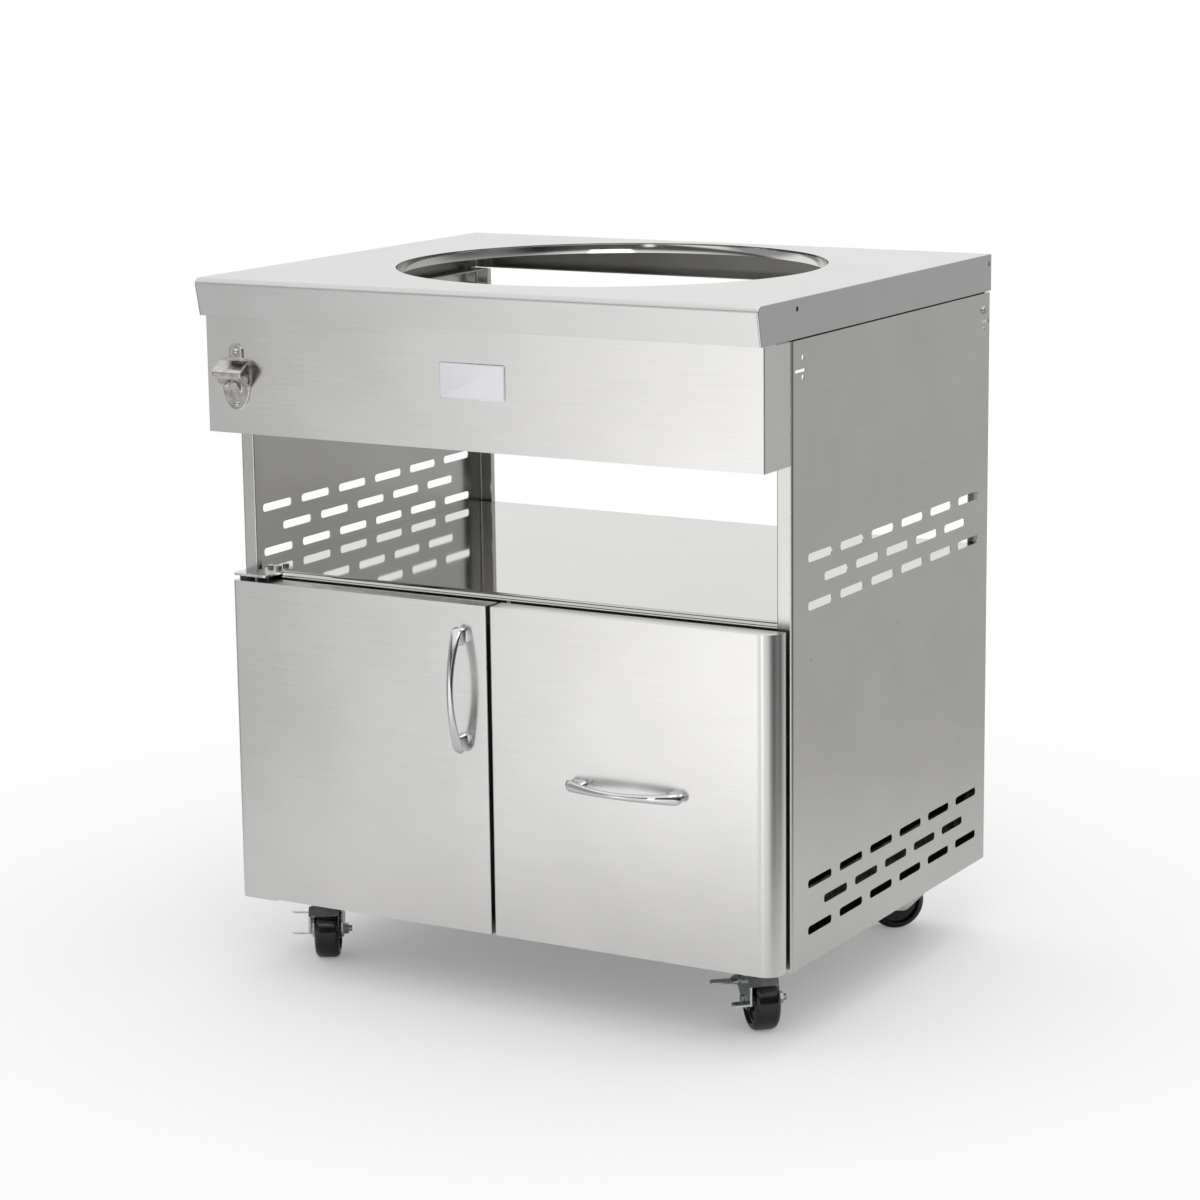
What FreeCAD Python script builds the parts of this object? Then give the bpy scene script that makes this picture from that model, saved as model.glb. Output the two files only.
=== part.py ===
import FreeCAD, Part
import math
import os

# Kamado grill table in folded stainless sheet, on four casters.
# Millimetres. X runs left to right, Y front to back, Z up from the floor.
# The origin is on the floor under the middle of the table top.

V = FreeCAD.Vector
X_AXIS = V(1, 0, 0)
Y_AXIS = V(0, 1, 0)
Z_AXIS = V(0, 0, 1)

# Table top
TOP_WIDTH = 780.0
TOP_DEPTH = 660.0
TOP_HEIGHT = 900.0
TOP_SHEET = 1.5
SKIRT_DROP = 47.0
SKIRT_SLOPE = 10.0
TOP_NOSE_RADIUS = 7.6
TOP_EDGE_RADIUS = 1.2
CORNER_SEAM = 0.5
REAR_LIP = 9.0
TOP_SIDE_HOLE = 3.0
TOP_SIDE_HOLE_DROP = 12.5
TOP_SIDE_HOLE_INSET_FRONT = 100.0
TOP_SIDE_HOLE_INSET_REAR = 9.2

# Round opening for the kamado and its welded trim ring
OPENING_RADIUS = 271.5
OPENING_SETBACK = 28.0
RING_WALL = 3.0
RING_DEPTH = 13.0
RING_ROUNDING = 2.4
RING_SEAM_ANGLE = 125.0
RING_SEAM_WIDTH = 0.7
RING_SEAM_DEPTH = 0.5

# Folded body
SHEET = 1.2
BEND_RADIUS = 2.3
TIGHT_BEND = 0.4
BODY_BOTTOM = 97.0
BODY_FRONT_SETBACK = 87.0
BODY_REAR_SETBACK = 2.0
TOP_SHADOW_GAP = 2.0
FRONT_FLANGE = 20.0
FRONT_LIP = 10.0
REAR_FLANGE = 25.0
REAR_RETURN = 10.0
CROSS_FLANGE = 22.0
SEAT = 0.2

# Vent slots, the same on both sides
SLOT_LENGTH = 63.5
SLOT_HEIGHT = 10.4
SLOT_CORNER = 4.2
SLOT_PITCH = 86.5
SLOT_COUNT = 6
SLOT_ROW_PITCH = 28.9
SLOT_SHIFT = 4.8
UPPER_SLOTS_RISE = 41.7
LOWER_SLOTS_RISE = 69.5

# Holes for side shelves
ACCESSORY_HOLE = 3.4
ACCESSORY_HOLE_RISE = 23.0
ACCESSORY_DROP = 81.4
ACCESSORY_INSET_FRONT = 28.0
ACCESSORY_INSET_REAR = 21.5
ACCESSORY_SLOT_LENGTH = 27.0
ACCESSORY_SLOT_HEIGHT = 3.6
ACCESSORY_SLOT_SHIFT = 7.0
ACCESSORY_SLOT_RISE = -3.5
ACCESSORY_SCREW_HEAD = 5.6
ACCESSORY_SCREW_LENGTH = 12.0

# Kamado shelf
SHELF_TOP = 521.0
SHELF_SHEET = 1.5
SHELF_NOSE_RADIUS = 6.0
SHELF_DROP = 34.0
SHELF_SIDE_DROP = 62.0
SHELF_FRONT_SETBACK = 2.0
RIVET_RADIUS = 1.6
RIVET_HEAD = 2.4
RIVET_HEAD_HEIGHT = 0.5
RIVET_DROP = 51.0
RIVET_SPACING = 243.0
RIVET_SHIFT = 7.5

# Cabinet
FLOOR_SHEET = 2.0
DIVIDER_FLANGE = 15.0
BACK_VENT_RADIUS = 15.0
BACK_VENT_INSET = 76.0
BACK_VENT_RISE = 33.0

# Front valance
VALANCE_FRONT_SETBACK = 20.0
VALANCE_DROP = 193.0
VALANCE_SIDE_GAP = 1.7
VALANCE_LIP = 18.0

# Rails between the side panels and the table top
RAIL_SHEET = 1.5
RAIL_FLANGE = 22.0
RAIL_SIDE_GAP = 3.0
RAIL_FRONT_LENGTH_GAP = 28.0
TOP_BOLT_RADIUS = 3.0
TOP_BOLT_FLATS = 10.0
TOP_BOLT_HEAD = 4.0
TOP_BOLT_INSET = 35.5

# Badge plate and bottle opener on the valance
BADGE_WIDTH = 91.0
BADGE_HEIGHT = 44.0
BADGE_THICKNESS = 2.4
BADGE_DROP = 109.0
OPENER_INSET = 47.0
OPENER_DROP = 81.0
OPENER_HEIGHT = 82.0
OPENER_SCREW_SPACING = 65.0
OPENER_TAB_RADIUS = 9.7
OPENER_PLATE = 3.0
OPENER_FOOT_SHARE = 0.45
OPENER_ROOF_SHARE = 0.62
OPENER_WAIST_CORNER = 3.0
OPENER_SHIELD_WIDTH = 41.0
OPENER_FOOT_RADIUS = 12.0
OPENER_SIDE_RADIUS = 45.0
OPENER_SHOULDER = 29.0
OPENER_HOOD_WIDTH = 43.0
OPENER_HOOD_REACH = 26.5
OPENER_HOOD_WALL = 2.6
OPENER_HOOD_DROP = 13.5
OPENER_CURL = 8.0
OPENER_LIP = 9.0
OPENER_NOSE_BEND = 3.0
OPENER_FALL = 1.0
OPENER_NOTCH = 9.5
OPENER_TOOTH = 10.0
OPENER_TOOTH_WIDTH = 14.0
OPENER_TOOTH_HEIGHT = 6.0
OPENER_SCREW_RADIUS = 2.2
OPENER_SCREW_HEAD = 4.2
OPENER_SCREW_SOCKET = 2.5

# Door and drawer fronts
FRONT_FACE_SETBACK = 50.0
FRONT_BOTTOM_RISE = 1.8
FRONT_TOP_DROP = 8.3
FRONT_DEPTH = 29.0
DOOR_SIDE_INSET = 7.0
DOOR_RIGHT = -6.5
DOOR_CORNER = 5.0
DRAWER_LEFT = -1.0
DRAWER_SIDE_INSET = 4.0
DRAWER_CORNER = 23.0
LINER_LIP = 12.0
LINER_GAP = 0.1

# Bow handles
HANDLE_LENGTH = 159.0
HANDLE_SPACING = 128.0
HANDLE_REACH = 29.5
HANDLE_END_REACH = 8.5
HANDLE_MIDDLE_WIDTH = 8.5
HANDLE_END_WIDTH = 16.0
HANDLE_THICKNESS = 7.0
HANDLE_FOOT_LENGTH = 22.0
HANDLE_FOOT_WIDTH = 10.0
HANDLE_FOOT_INSET = 2.5
HANDLE_SECTIONS = 25
HANDLE_SCREW_RADIUS = 2.0
HANDLE_SCREW_HEAD = 4.0
HANDLE_SCREW_DEPTH = 5.0
DOOR_HANDLE_INSET = 35.0
DOOR_HANDLE_DROP = 106.2
DRAWER_HANDLE_SHIFT = -5.0

# Door hinge
PIVOT_INSET_X = 12.0
PIVOT_INSET_Y = 16.0
PIVOT_RADIUS = 4.0
PIVOT_CLEARANCE = 0.05
PIVOT_ENGAGEMENT = 12.0
BUSH_WALL = 3.0
BUSH_FLANGE_RADIUS = 9.5
BUSH_DEPTH = 14.0
HINGE_PLATE = 3.0
HINGE_PLATE_WIDTH = 52.0
HINGE_PLATE_REACH = 32.0
HINGE_PLATE_TAIL = 38.0
HINGE_CORNER = 5.0
HINGE_SIDE_INSET = 4.0
HINGE_BOLT_RADIUS = 2.5
HINGE_BOLT_FLATS = 8.0
HINGE_BOLT_HEAD = 3.5
HINGE_BOLT_INSET = 6.5
HINGE_BOLT_SPACING = 12.0
HINGE_BOLT_SETBACK = 17.0
HINGE_BOLT_PITCH = 16.0
BUSH_SEAT = 0.1
POCKET_GAP = 0.5
WASHER_GAP = 0.3

# Magnet catch
CATCH_WIDTH = 16.0
CATCH_HEIGHT = 46.0
CATCH_TOP_DROP = 60.0
CATCH_GAP = 0.3
STRIKE_SHEET = 1.5

# Tray and slides
TRAY_RISE = 11.0
TRAY_DEPTH = 66.5
TRAY_SHEET = 1.2
TRAY_RIM_LIP = 9.0
TRAY_REAR_CLEARANCE = 20.0
SLIDE_HEIGHT = 45.0
SLIDE_DEPTH = 12.7
SLIDE_RISE = 15.0
SLIDE_REAR_CLEARANCE = 64.6
SLIDE_SHEET = 1.2
SLIDE_LIP = 3.4
SLIDE_RUNNING_GAP = 0.3
SLIDE_FRONT_INSET = 3.0
BRACKET_FOOT = 18.0
BRACKET_SHEET = 2.0
BRACKET_INSET = 24.0
GUSSET_HEIGHT = 240.0
GUSSET_DEPTH = 90.0
GUSSET_SHEET = 2.0
GUSSET_FLANGE = 14.0

# Casters
WHEEL_RADIUS = 37.5
WHEEL_WIDTH = 32.0
WHEEL_SHOULDER = 7.0
WHEEL_HUB_RADIUS = 13.0
WHEEL_RECESS = 5.0
WHEEL_RIM_WALL = 8.0
WHEEL_RIM_DRAFT = 2.0
WHEEL_HUB_DRAFT = 1.5
WHEEL_CORNER = 2.0
CASTER_TRAIL = 25.0
CASTER_PLATE = 58.0
CASTER_PLATE_SHEET = 2.5
CASTER_BOLT_SPACING = 44.0
CASTER_BOLT_RADIUS = 3.0
CASTER_BOLT_FLATS = 10.0
CASTER_BOLT_HEAD = 4.0
LEFT_CASTER_INSET = 62.0
RIGHT_CASTER_INSET = 89.0
FRONT_CASTER_INSET = 77.5
REAR_CASTER_INSET = 34.0
FORK_SHEET = 2.5
FORK_BEND = 5.0
FORK_CORNER = 6.0
FORK_SIDE_GAP = 1.6
FORK_CROWN_CLEARANCE = 4.0
FORK_EYE_RADIUS = 11.0
FORK_LEG_RISE = 20.0
RACE_RADIUS = 22.0
RACE_GAP = 0.3
KINGPIN_RADIUS = 5.0
KINGPIN_HEAD = 9.0
KINGPIN_HEAD_HEIGHT = 1.8
KINGPIN_CLEARANCE = 0.05
AXLE_RADIUS = 4.0
AXLE_FLATS = 13.0
AXLE_HEAD = 5.3
AXLE_NUT = 6.5
AXLE_END = 4.5
SLEEVE_RADIUS = 6.0
SLEEVE_CLEARANCE = 0.08
HUB_END_GAP = 0.3
BRAKE_SHEET = 2.5
BRAKE_GAP = 0.3
BRAKE_PIVOT_Y = -6.0
BRAKE_PIVOT_Z = 58.0
BRAKE_PIVOT_RADIUS = 3.0
BRAKE_ARM = 7.0
BRAKE_CORNER = 2.0
SHOE_LENGTH = 35.0
SHOE_WIDTH = 15.0
SHOE_ANGLE = 130.0
PEDAL_LENGTH = 21.0
PEDAL_FRONT_Y = 24.0
PEDAL_FRONT_Z = 47.0
PEDAL_FRONT_LENGTH = 28.0
PEDAL_REAR_Y = -50.0
PEDAL_REAR_Z = 41.0
PEDAL_WIDTH = 15.0

# Derived planes and lines
TOP_X = TOP_WIDTH / 2
TOP_FRONT = -TOP_DEPTH / 2
TOP_REAR = TOP_DEPTH / 2
TOP_UNDER = TOP_HEIGHT - TOP_SHEET
SKIRT_BOTTOM = TOP_HEIGHT - SKIRT_DROP
BODY_X = TOP_X
BODY_INNER_X = BODY_X - SHEET
BODY_FRONT = TOP_FRONT + BODY_FRONT_SETBACK
BODY_REAR = TOP_REAR - BODY_REAR_SETBACK
BODY_TOP = SKIRT_BOTTOM - TOP_SHADOW_GAP
BODY_MIDDLE_Y = (BODY_FRONT + BODY_REAR) / 2
REAR_INNER_Y = BODY_REAR - SHEET - SEAT
LIP_X = BODY_X - FRONT_FLANGE
LIP_CLEAR = LIP_X - SEAT
REAR_CLEAR = BODY_X - REAR_FLANGE - SEAT
SHELF_FRONT = BODY_FRONT + SHELF_FRONT_SETBACK
SHELF_UNDER = SHELF_TOP - SHELF_SHEET
SHELF_X = BODY_INNER_X - SEAT
SHELF_FLANGE_BOTTOM = SHELF_TOP - SHELF_DROP
FLOOR_BOTTOM = BODY_BOTTOM + SHEET
FLOOR_TOP = FLOOR_BOTTOM + FLOOR_SHEET
VALANCE_FRONT = TOP_FRONT + VALANCE_FRONT_SETBACK
VALANCE_X = BODY_X - VALANCE_SIDE_GAP
VALANCE_TOP = TOP_UNDER - RAIL_SHEET
VALANCE_BOTTOM = TOP_HEIGHT - VALANCE_DROP
BADGE_Z = TOP_HEIGHT - BADGE_DROP
OPENER_X = OPENER_INSET - TOP_X
OPENER_TOP = TOP_HEIGHT - OPENER_DROP
ACCESSORY_HOLES_Z = TOP_HEIGHT - ACCESSORY_DROP
UPPER_SLOTS_Z = SHELF_TOP + UPPER_SLOTS_RISE
LOWER_SLOTS_Z = BODY_BOTTOM + LOWER_SLOTS_RISE
SLOT_MIDDLE_Y = BODY_MIDDLE_Y + SLOT_SHIFT
RIVET_MIDDLE_Y = BODY_MIDDLE_Y + RIVET_SHIFT
BACK_VENT_X = BODY_X - BACK_VENT_INSET
BACK_VENT_Z = BODY_BOTTOM + BACK_VENT_RISE
FACE_Y = TOP_FRONT + FRONT_FACE_SETBACK
LINER_Y = FACE_Y + FRONT_DEPTH
FRONT_BOTTOM = BODY_BOTTOM + FRONT_BOTTOM_RISE
FRONT_TOP = SHELF_TOP - FRONT_TOP_DROP
DOOR_LEFT = DOOR_SIDE_INSET - BODY_X
DRAWER_RIGHT = BODY_X - DRAWER_SIDE_INSET
DOOR_HANDLE_X = DOOR_RIGHT - DOOR_HANDLE_INSET
DOOR_HANDLE_Z = FRONT_TOP - DOOR_HANDLE_DROP
DRAWER_HANDLE_X = (DRAWER_LEFT + DRAWER_RIGHT) / 2 + DRAWER_HANDLE_SHIFT
DRAWER_HANDLE_Z = (FRONT_BOTTOM + FRONT_TOP) / 2
DIVIDER_X = (DOOR_RIGHT + DRAWER_LEFT) / 2
PIVOT_X = DOOR_LEFT + PIVOT_INSET_X
PIVOT_Y = FACE_Y + PIVOT_INSET_Y
TOP_PLATE_BOTTOM = SHELF_TOP - HINGE_PLATE
POCKET_BOTTOM = TOP_PLATE_BOTTOM - SHELF_SHEET
LOW_PLATE_BOTTOM = FLOOR_BOTTOM - HINGE_PLATE
HINGE_LEFT = BODY_X - HINGE_SIDE_INSET
AXLE_Z = WHEEL_RADIUS
FORK_INNER = WHEEL_WIDTH / 2 + FORK_SIDE_GAP
FORK_OUTER = FORK_INNER + FORK_SHEET
CROWN_BOTTOM = 2 * WHEEL_RADIUS + FORK_CROWN_CLEARANCE
CROWN_TOP = CROWN_BOTTOM + FORK_SHEET
CASTER_TOP = FLOOR_BOTTOM
LEFT_CASTER_X = LEFT_CASTER_INSET - BODY_X
RIGHT_CASTER_X = BODY_X - RIGHT_CASTER_INSET
FRONT_CASTER_Y = BODY_FRONT + FRONT_CASTER_INSET
REAR_CASTER_Y = BODY_REAR - REAR_CASTER_INSET
SLIDE_LEFT_X = DIVIDER_X + SHEET / 2
SLIDE_FRONT = SHELF_FRONT + SLIDE_FRONT_INSET
SLIDE_REAR = REAR_INNER_Y - SLIDE_REAR_CLEARANCE
SLIDE_LENGTH = SLIDE_REAR - SLIDE_FRONT
SLIDE_BOTTOM = BODY_BOTTOM + SLIDE_RISE
TRAY_BOTTOM = BODY_BOTTOM + TRAY_RISE
TRAY_RIM = TRAY_BOTTOM + TRAY_DEPTH
BRACKET_X = LIP_CLEAR - BRACKET_SHEET
SLIDE_RIGHT_X = BRACKET_X
TRAY_LEFT = SLIDE_LEFT_X + SLIDE_DEPTH
TRAY_RIGHT = SLIDE_RIGHT_X - SLIDE_DEPTH
TRAY_REAR = REAR_INNER_Y - TRAY_REAR_CLEARANCE


def box(x0, x1, y0, y1, z0, z1):
    return Part.makeBox(x1 - x0, y1 - y0, z1 - z0, V(x0, y0, z0))


def rod(start, axis, radius, length):
    return Part.makeCylinder(radius, length, start, axis)


def ring(start, axis, outer, inner, length):
    return rod(start, axis, outer, length).cut(rod(start, axis, inner, length))


def on_plan(z):
    return lambda u, v: V(u, v, z)


def on_side(x):
    return lambda u, v: V(x, u, v)


def on_front(y):
    return lambda u, v: V(u, y, v)


def unit(a, b):
    length = math.hypot(b[0] - a[0], b[1] - a[1])
    return ((b[0] - a[0]) / length, (b[1] - a[1]) / length)


def turn(a, b, c):
    d, e = unit(a, b), unit(b, c)
    return math.atan2(d[0] * e[1] - d[1] * e[0], d[0] * e[0] + d[1] * e[1])


def rounded(points, radii, place):
    """Edges along an open line of points, each inner corner rounded to its own radius."""
    edges = []
    start = points[0]
    for i in range(1, len(points) - 1):
        a, b, c = points[i - 1], points[i], points[i + 1]
        angle = abs(turn(a, b, c))
        if radii[i] <= 0 or angle < 1e-6:
            edges.append(Part.LineSegment(place(*start), place(*b)).toShape())
            start = b
            continue
        back, ahead = unit(b, a), unit(b, c)
        reach = radii[i] * math.tan(angle / 2)
        first = (b[0] + back[0] * reach, b[1] + back[1] * reach)
        last = (b[0] + ahead[0] * reach, b[1] + ahead[1] * reach)
        middle_x, middle_y = back[0] + ahead[0], back[1] + ahead[1]
        size = math.hypot(middle_x, middle_y)
        inset = radii[i] / math.cos(angle / 2) - radii[i]
        crest = (b[0] + middle_x / size * inset, b[1] + middle_y / size * inset)
        if math.dist(start, first) > 1e-6:
            edges.append(Part.LineSegment(place(*start), place(*first)).toShape())
        edges.append(Part.Arc(place(*first), place(*crest), place(*last)).toShape())
        start = last
    if math.dist(start, points[-1]) > 1e-6:
        edges.append(Part.LineSegment(place(*start), place(*points[-1])).toShape())
    return edges


def outline(points, radius, place, sweep):
    """A plate: a closed outline with rounded corners, thickened along sweep."""
    radii = radius if isinstance(radius, list) else [radius] * len(points)
    middle = ((points[-1][0] + points[0][0]) / 2, (points[-1][1] + points[0][1]) / 2)
    line = [middle] + points + [middle]
    wire = Part.Wire(rounded(line, [0] + radii + [0], place))
    return Part.Face(wire).extrude(sweep)


def bent_sheet(points, sheet, bend, place, sweep):
    """Sheet folded along a line of points; its thickness lies on the line's left."""
    count = len(points)
    inner = []
    for i in range(count):
        before = unit(points[i - 1], points[i]) if i else unit(points[0], points[1])
        after = unit(points[i], points[i + 1]) if i < count - 1 else before
        nx, ny = -before[1] - after[1], before[0] + after[0]
        scale = sheet * 2 / (nx * nx + ny * ny)
        inner.append((points[i][0] + nx * scale, points[i][1] + ny * scale))
    bends = bend if isinstance(bend, list) else [bend] * count
    outer_radii, inner_radii = [0] * count, [0] * count
    for i in range(1, count - 1):
        left = turn(points[i - 1], points[i], points[i + 1]) > 0
        outer_radii[i] = bends[i] + (sheet if left else 0)
        inner_radii[i] = bends[i] + (0 if left else sheet)
    edges = rounded(points, outer_radii, place)
    edges.append(Part.LineSegment(place(*points[-1]), place(*inner[-1])).toShape())
    edges += rounded(inner[::-1], inner_radii[::-1], place)
    edges.append(Part.LineSegment(place(*inner[0]), place(*points[0])).toShape())
    return Part.Face(Part.Wire(edges)).extrude(sweep)


def hexagon(start, axis, flats, height):
    """A hexagonal prism that starts at a point and rises along an axis."""
    across = flats / math.sqrt(3)
    side = Y_AXIS if abs(axis.z) > 0.5 else Z_AXIS
    other = axis.cross(side)
    corners = []
    for k in range(7):
        angle = math.radians(60 * k + 30)
        corners.append(start + side * (across * math.cos(angle)) + other * (across * math.sin(angle)))
    return Part.Face(Part.makePolygon(corners)).extrude(axis * height)


def mirrored(shape):
    return shape.mirror(V(0, 0, 0), X_AXIS)


def joined(solids):
    return solids[0].multiFuse(solids[1:]).removeSplitter() if len(solids) > 1 else solids[0]


def without(shape, cutters):
    return shape.cut(Part.makeCompound(cutters))


def save(name, *solids):
    shape = solids[0] if len(solids) == 1 else Part.makeCompound(list(solids))
    shape.exportStep("parts/" + name + ".step")
    print(name, len(shape.Solids), round(shape.Volume / 1000, 1), "cm3", shape.isValid())


def table_top():
    """The pressed top with its skirt, side flanges, rear flange and round opening."""
    line = [
        (TOP_REAR - REAR_LIP, SKIRT_BOTTOM),
        (TOP_REAR, SKIRT_BOTTOM),
        (TOP_REAR, TOP_HEIGHT),
        (TOP_FRONT, TOP_HEIGHT),
        (TOP_FRONT + SKIRT_SLOPE, SKIRT_BOTTOM),
    ]
    nose = TOP_NOSE_RADIUS - TOP_SHEET
    inner_x = TOP_X - TOP_SHEET
    pan = bent_sheet(line, TOP_SHEET, [0, TIGHT_BEND, TIGHT_BEND, nose, 0],
                     on_side(-inner_x), X_AXIS * (2 * inner_x))
    seam_floor = TOP_HEIGHT - TOP_NOSE_RADIUS - CORNER_SEAM
    seam_back = TOP_FRONT + SKIRT_SLOPE + TOP_NOSE_RADIUS
    pan = without(pan, [
        box(side * inner_x - CORNER_SEAM, side * inner_x + CORNER_SEAM,
            TOP_FRONT - 1, seam_back, SKIRT_BOTTOM - 1, seam_floor)
        for side in (-1, 1)])
    side_outline = [(TOP_REAR, SKIRT_BOTTOM), (TOP_REAR, TOP_HEIGHT),
                    (TOP_FRONT, TOP_HEIGHT), (TOP_FRONT + SKIRT_SLOPE, SKIRT_BOTTOM)]
    corners = [0, TIGHT_BEND + TOP_SHEET, TOP_NOSE_RADIUS, 0]
    right = outline(side_outline, corners, on_side(inner_x), X_AXIS * TOP_SHEET)
    top = joined([pan, right, mirrored(right)])
    long_edges = [edge for edge in top.Edges
                  if edge.BoundBox.YLength > TOP_DEPTH / 2
                  and abs(edge.BoundBox.ZMin - TOP_HEIGHT) < 1e-3
                  and abs(edge.BoundBox.ZMax - TOP_HEIGHT) < 1e-3
                  and abs(abs(edge.BoundBox.XMin) - TOP_X) < 1e-3]
    top = top.makeFillet(TOP_EDGE_RADIUS, long_edges)
    cuts = [rod(V(0, OPENING_SETBACK, SKIRT_BOTTOM), Z_AXIS, OPENING_RADIUS + RING_WALL, SKIRT_DROP + 1)]
    hole_z = TOP_HEIGHT - TOP_SIDE_HOLE_DROP
    for y in (TOP_FRONT + TOP_SIDE_HOLE_INSET_FRONT, TOP_REAR - TOP_SIDE_HOLE_INSET_REAR):
        cuts.append(rod(V(-TOP_X - 1, y, hole_z), X_AXIS, TOP_SIDE_HOLE, TOP_WIDTH + 2))
    return without(top, cuts)


def opening_trim_ring():
    """A strip ring welded into the opening, its top edge rolled over."""
    low = TOP_HEIGHT - RING_DEPTH
    outer = OPENING_RADIUS + RING_WALL
    line = [(outer, low), (outer, TOP_HEIGHT), (OPENING_RADIUS, TOP_HEIGHT), (OPENING_RADIUS, low)]
    place = on_front(OPENING_SETBACK)
    edges = rounded(line, [0, 0, RING_ROUNDING, 0], place)
    edges.append(Part.LineSegment(place(*line[-1]), place(*line[0])).toShape())
    strip = Part.Face(Part.Wire(edges)).revolve(V(0, OPENING_SETBACK, 0), Z_AXIS, 360)
    groove = box(OPENING_RADIUS - 1, OPENING_RADIUS + RING_SEAM_DEPTH,
                 OPENING_SETBACK - RING_SEAM_WIDTH / 2, OPENING_SETBACK + RING_SEAM_WIDTH / 2,
                 low - 1, TOP_HEIGHT + 1)
    groove.rotate(V(0, OPENING_SETBACK, 0), Z_AXIS, RING_SEAM_ANGLE)
    return strip.cut(groove)


def top_bolt_places():
    x = TOP_X - RAIL_SIDE_GAP - RAIL_FLANGE / 2
    reach = (BODY_REAR - BODY_FRONT) / 2 - TOP_BOLT_INSET
    return [(side * x, BODY_MIDDLE_Y + step * reach) for side in (-1, 1) for step in (-1, 0, 1)]


def channel_rail(near, far, low, high, place, sweep):
    """A C channel whose web stands at near and whose flanges reach to far."""
    line = [(far, low), (near, low), (near, high), (far, high)]
    if far > near:
        line.reverse()
    return bent_sheet(line, RAIL_SHEET, TIGHT_BEND, place, sweep)


def top_rails():
    """Side rails stand on the side panels; cross rails close the box at front and rear."""
    web = TOP_X - RAIL_SIDE_GAP
    front = VALANCE_FRONT + RAIL_FRONT_LENGTH_GAP
    length = TOP_REAR - REAR_LIP - RAIL_SIDE_GAP - front
    right = channel_rail(web, web - RAIL_FLANGE, BODY_TOP, TOP_UNDER,
                         on_side_section(front), Y_AXIS * length)
    holes = [rod(V(x, y, BODY_TOP - 1), Z_AXIS, TOP_BOLT_RADIUS, RAIL_SHEET + 2)
             for x, y in top_bolt_places() if x > 0]
    right = without(right, holes)
    cross_x = web - RAIL_FLANGE - RAIL_SIDE_GAP
    front_web = VALANCE_FRONT + SHEET
    front_rail = channel_rail(front_web, front_web + RAIL_FLANGE, SKIRT_BOTTOM, TOP_UNDER,
                              on_side(-cross_x), X_AXIS * (2 * cross_x))
    rear_web = TOP_REAR - TOP_SHEET
    rear_low = SKIRT_BOTTOM + TOP_SHEET + SEAT
    rear_rail = channel_rail(rear_web, rear_web - RAIL_FLANGE, rear_low, TOP_UNDER,
                             on_side(-cross_x), X_AXIS * (2 * cross_x))
    return right, front_rail, rear_rail


def on_side_section(y):
    return lambda u, v: V(u, y, v)


def top_bolts():
    """Hexagon bolts that hold the rails down on the side panels, with their nuts."""
    solids = []
    for x, y in top_bolt_places():
        seat = BODY_TOP + RAIL_SHEET
        under = BODY_TOP - SHEET
        bolt = joined([hexagon(V(x, y, seat), Z_AXIS, TOP_BOLT_FLATS, TOP_BOLT_HEAD),
                       rod(V(x, y, under - 2 * TOP_BOLT_HEAD), Z_AXIS, TOP_BOLT_RADIUS,
                           seat - under + 2 * TOP_BOLT_HEAD)])
        nut = hexagon(V(x, y, under - TOP_BOLT_HEAD), Z_AXIS, TOP_BOLT_FLATS, TOP_BOLT_HEAD)
        solids += [bolt, nut.cut(rod(V(x, y, under - TOP_BOLT_HEAD), Z_AXIS, TOP_BOLT_RADIUS, TOP_BOLT_HEAD))]
    return solids


def rounded_slot(y, z, length, height, corner):
    """A cutter for one slot right through a side panel on the right."""
    half, rise = length / 2, height / 2
    points = [(y - half, z - rise), (y + half, z - rise), (y + half, z + rise), (y - half, z + rise)]
    return outline(points, min(corner, 0.49 * height), on_side(BODY_INNER_X - 1), X_AXIS * (SHEET + 2))


def vent_slots(middle_z):
    cutters = []
    for row, count in ((1, SLOT_COUNT), (0, SLOT_COUNT - 1), (-1, SLOT_COUNT)):
        first = SLOT_MIDDLE_Y - (count - 1) * SLOT_PITCH / 2
        for k in range(count):
            cutters.append(rounded_slot(first + k * SLOT_PITCH, middle_z + row * SLOT_ROW_PITCH,
                                        SLOT_LENGTH, SLOT_HEIGHT, SLOT_CORNER))
    return cutters


def accessory_holes():
    """Two round holes and a keeper slot at each top corner, for a side shelf's bracket."""
    cutters = []
    for y, way in ((BODY_FRONT + ACCESSORY_INSET_FRONT, -1), (BODY_REAR - ACCESSORY_INSET_REAR, 1)):
        for step in (-0.5, 0.5):
            z = ACCESSORY_HOLES_Z + step * ACCESSORY_HOLE_RISE
            cutters.append(rod(V(BODY_INNER_X - 1, y, z), X_AXIS, ACCESSORY_HOLE, SHEET + 2))
        cutters.append(rounded_slot(y + way * ACCESSORY_SLOT_SHIFT, ACCESSORY_HOLES_Z + ACCESSORY_SLOT_RISE,
                                    ACCESSORY_SLOT_LENGTH, ACCESSORY_SLOT_HEIGHT, ACCESSORY_SLOT_HEIGHT))
    return cutters


def rivet_places():
    return [(RIVET_MIDDLE_Y + step * RIVET_SPACING, SHELF_TOP - RIVET_DROP) for step in (-1, 0, 1)]


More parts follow.
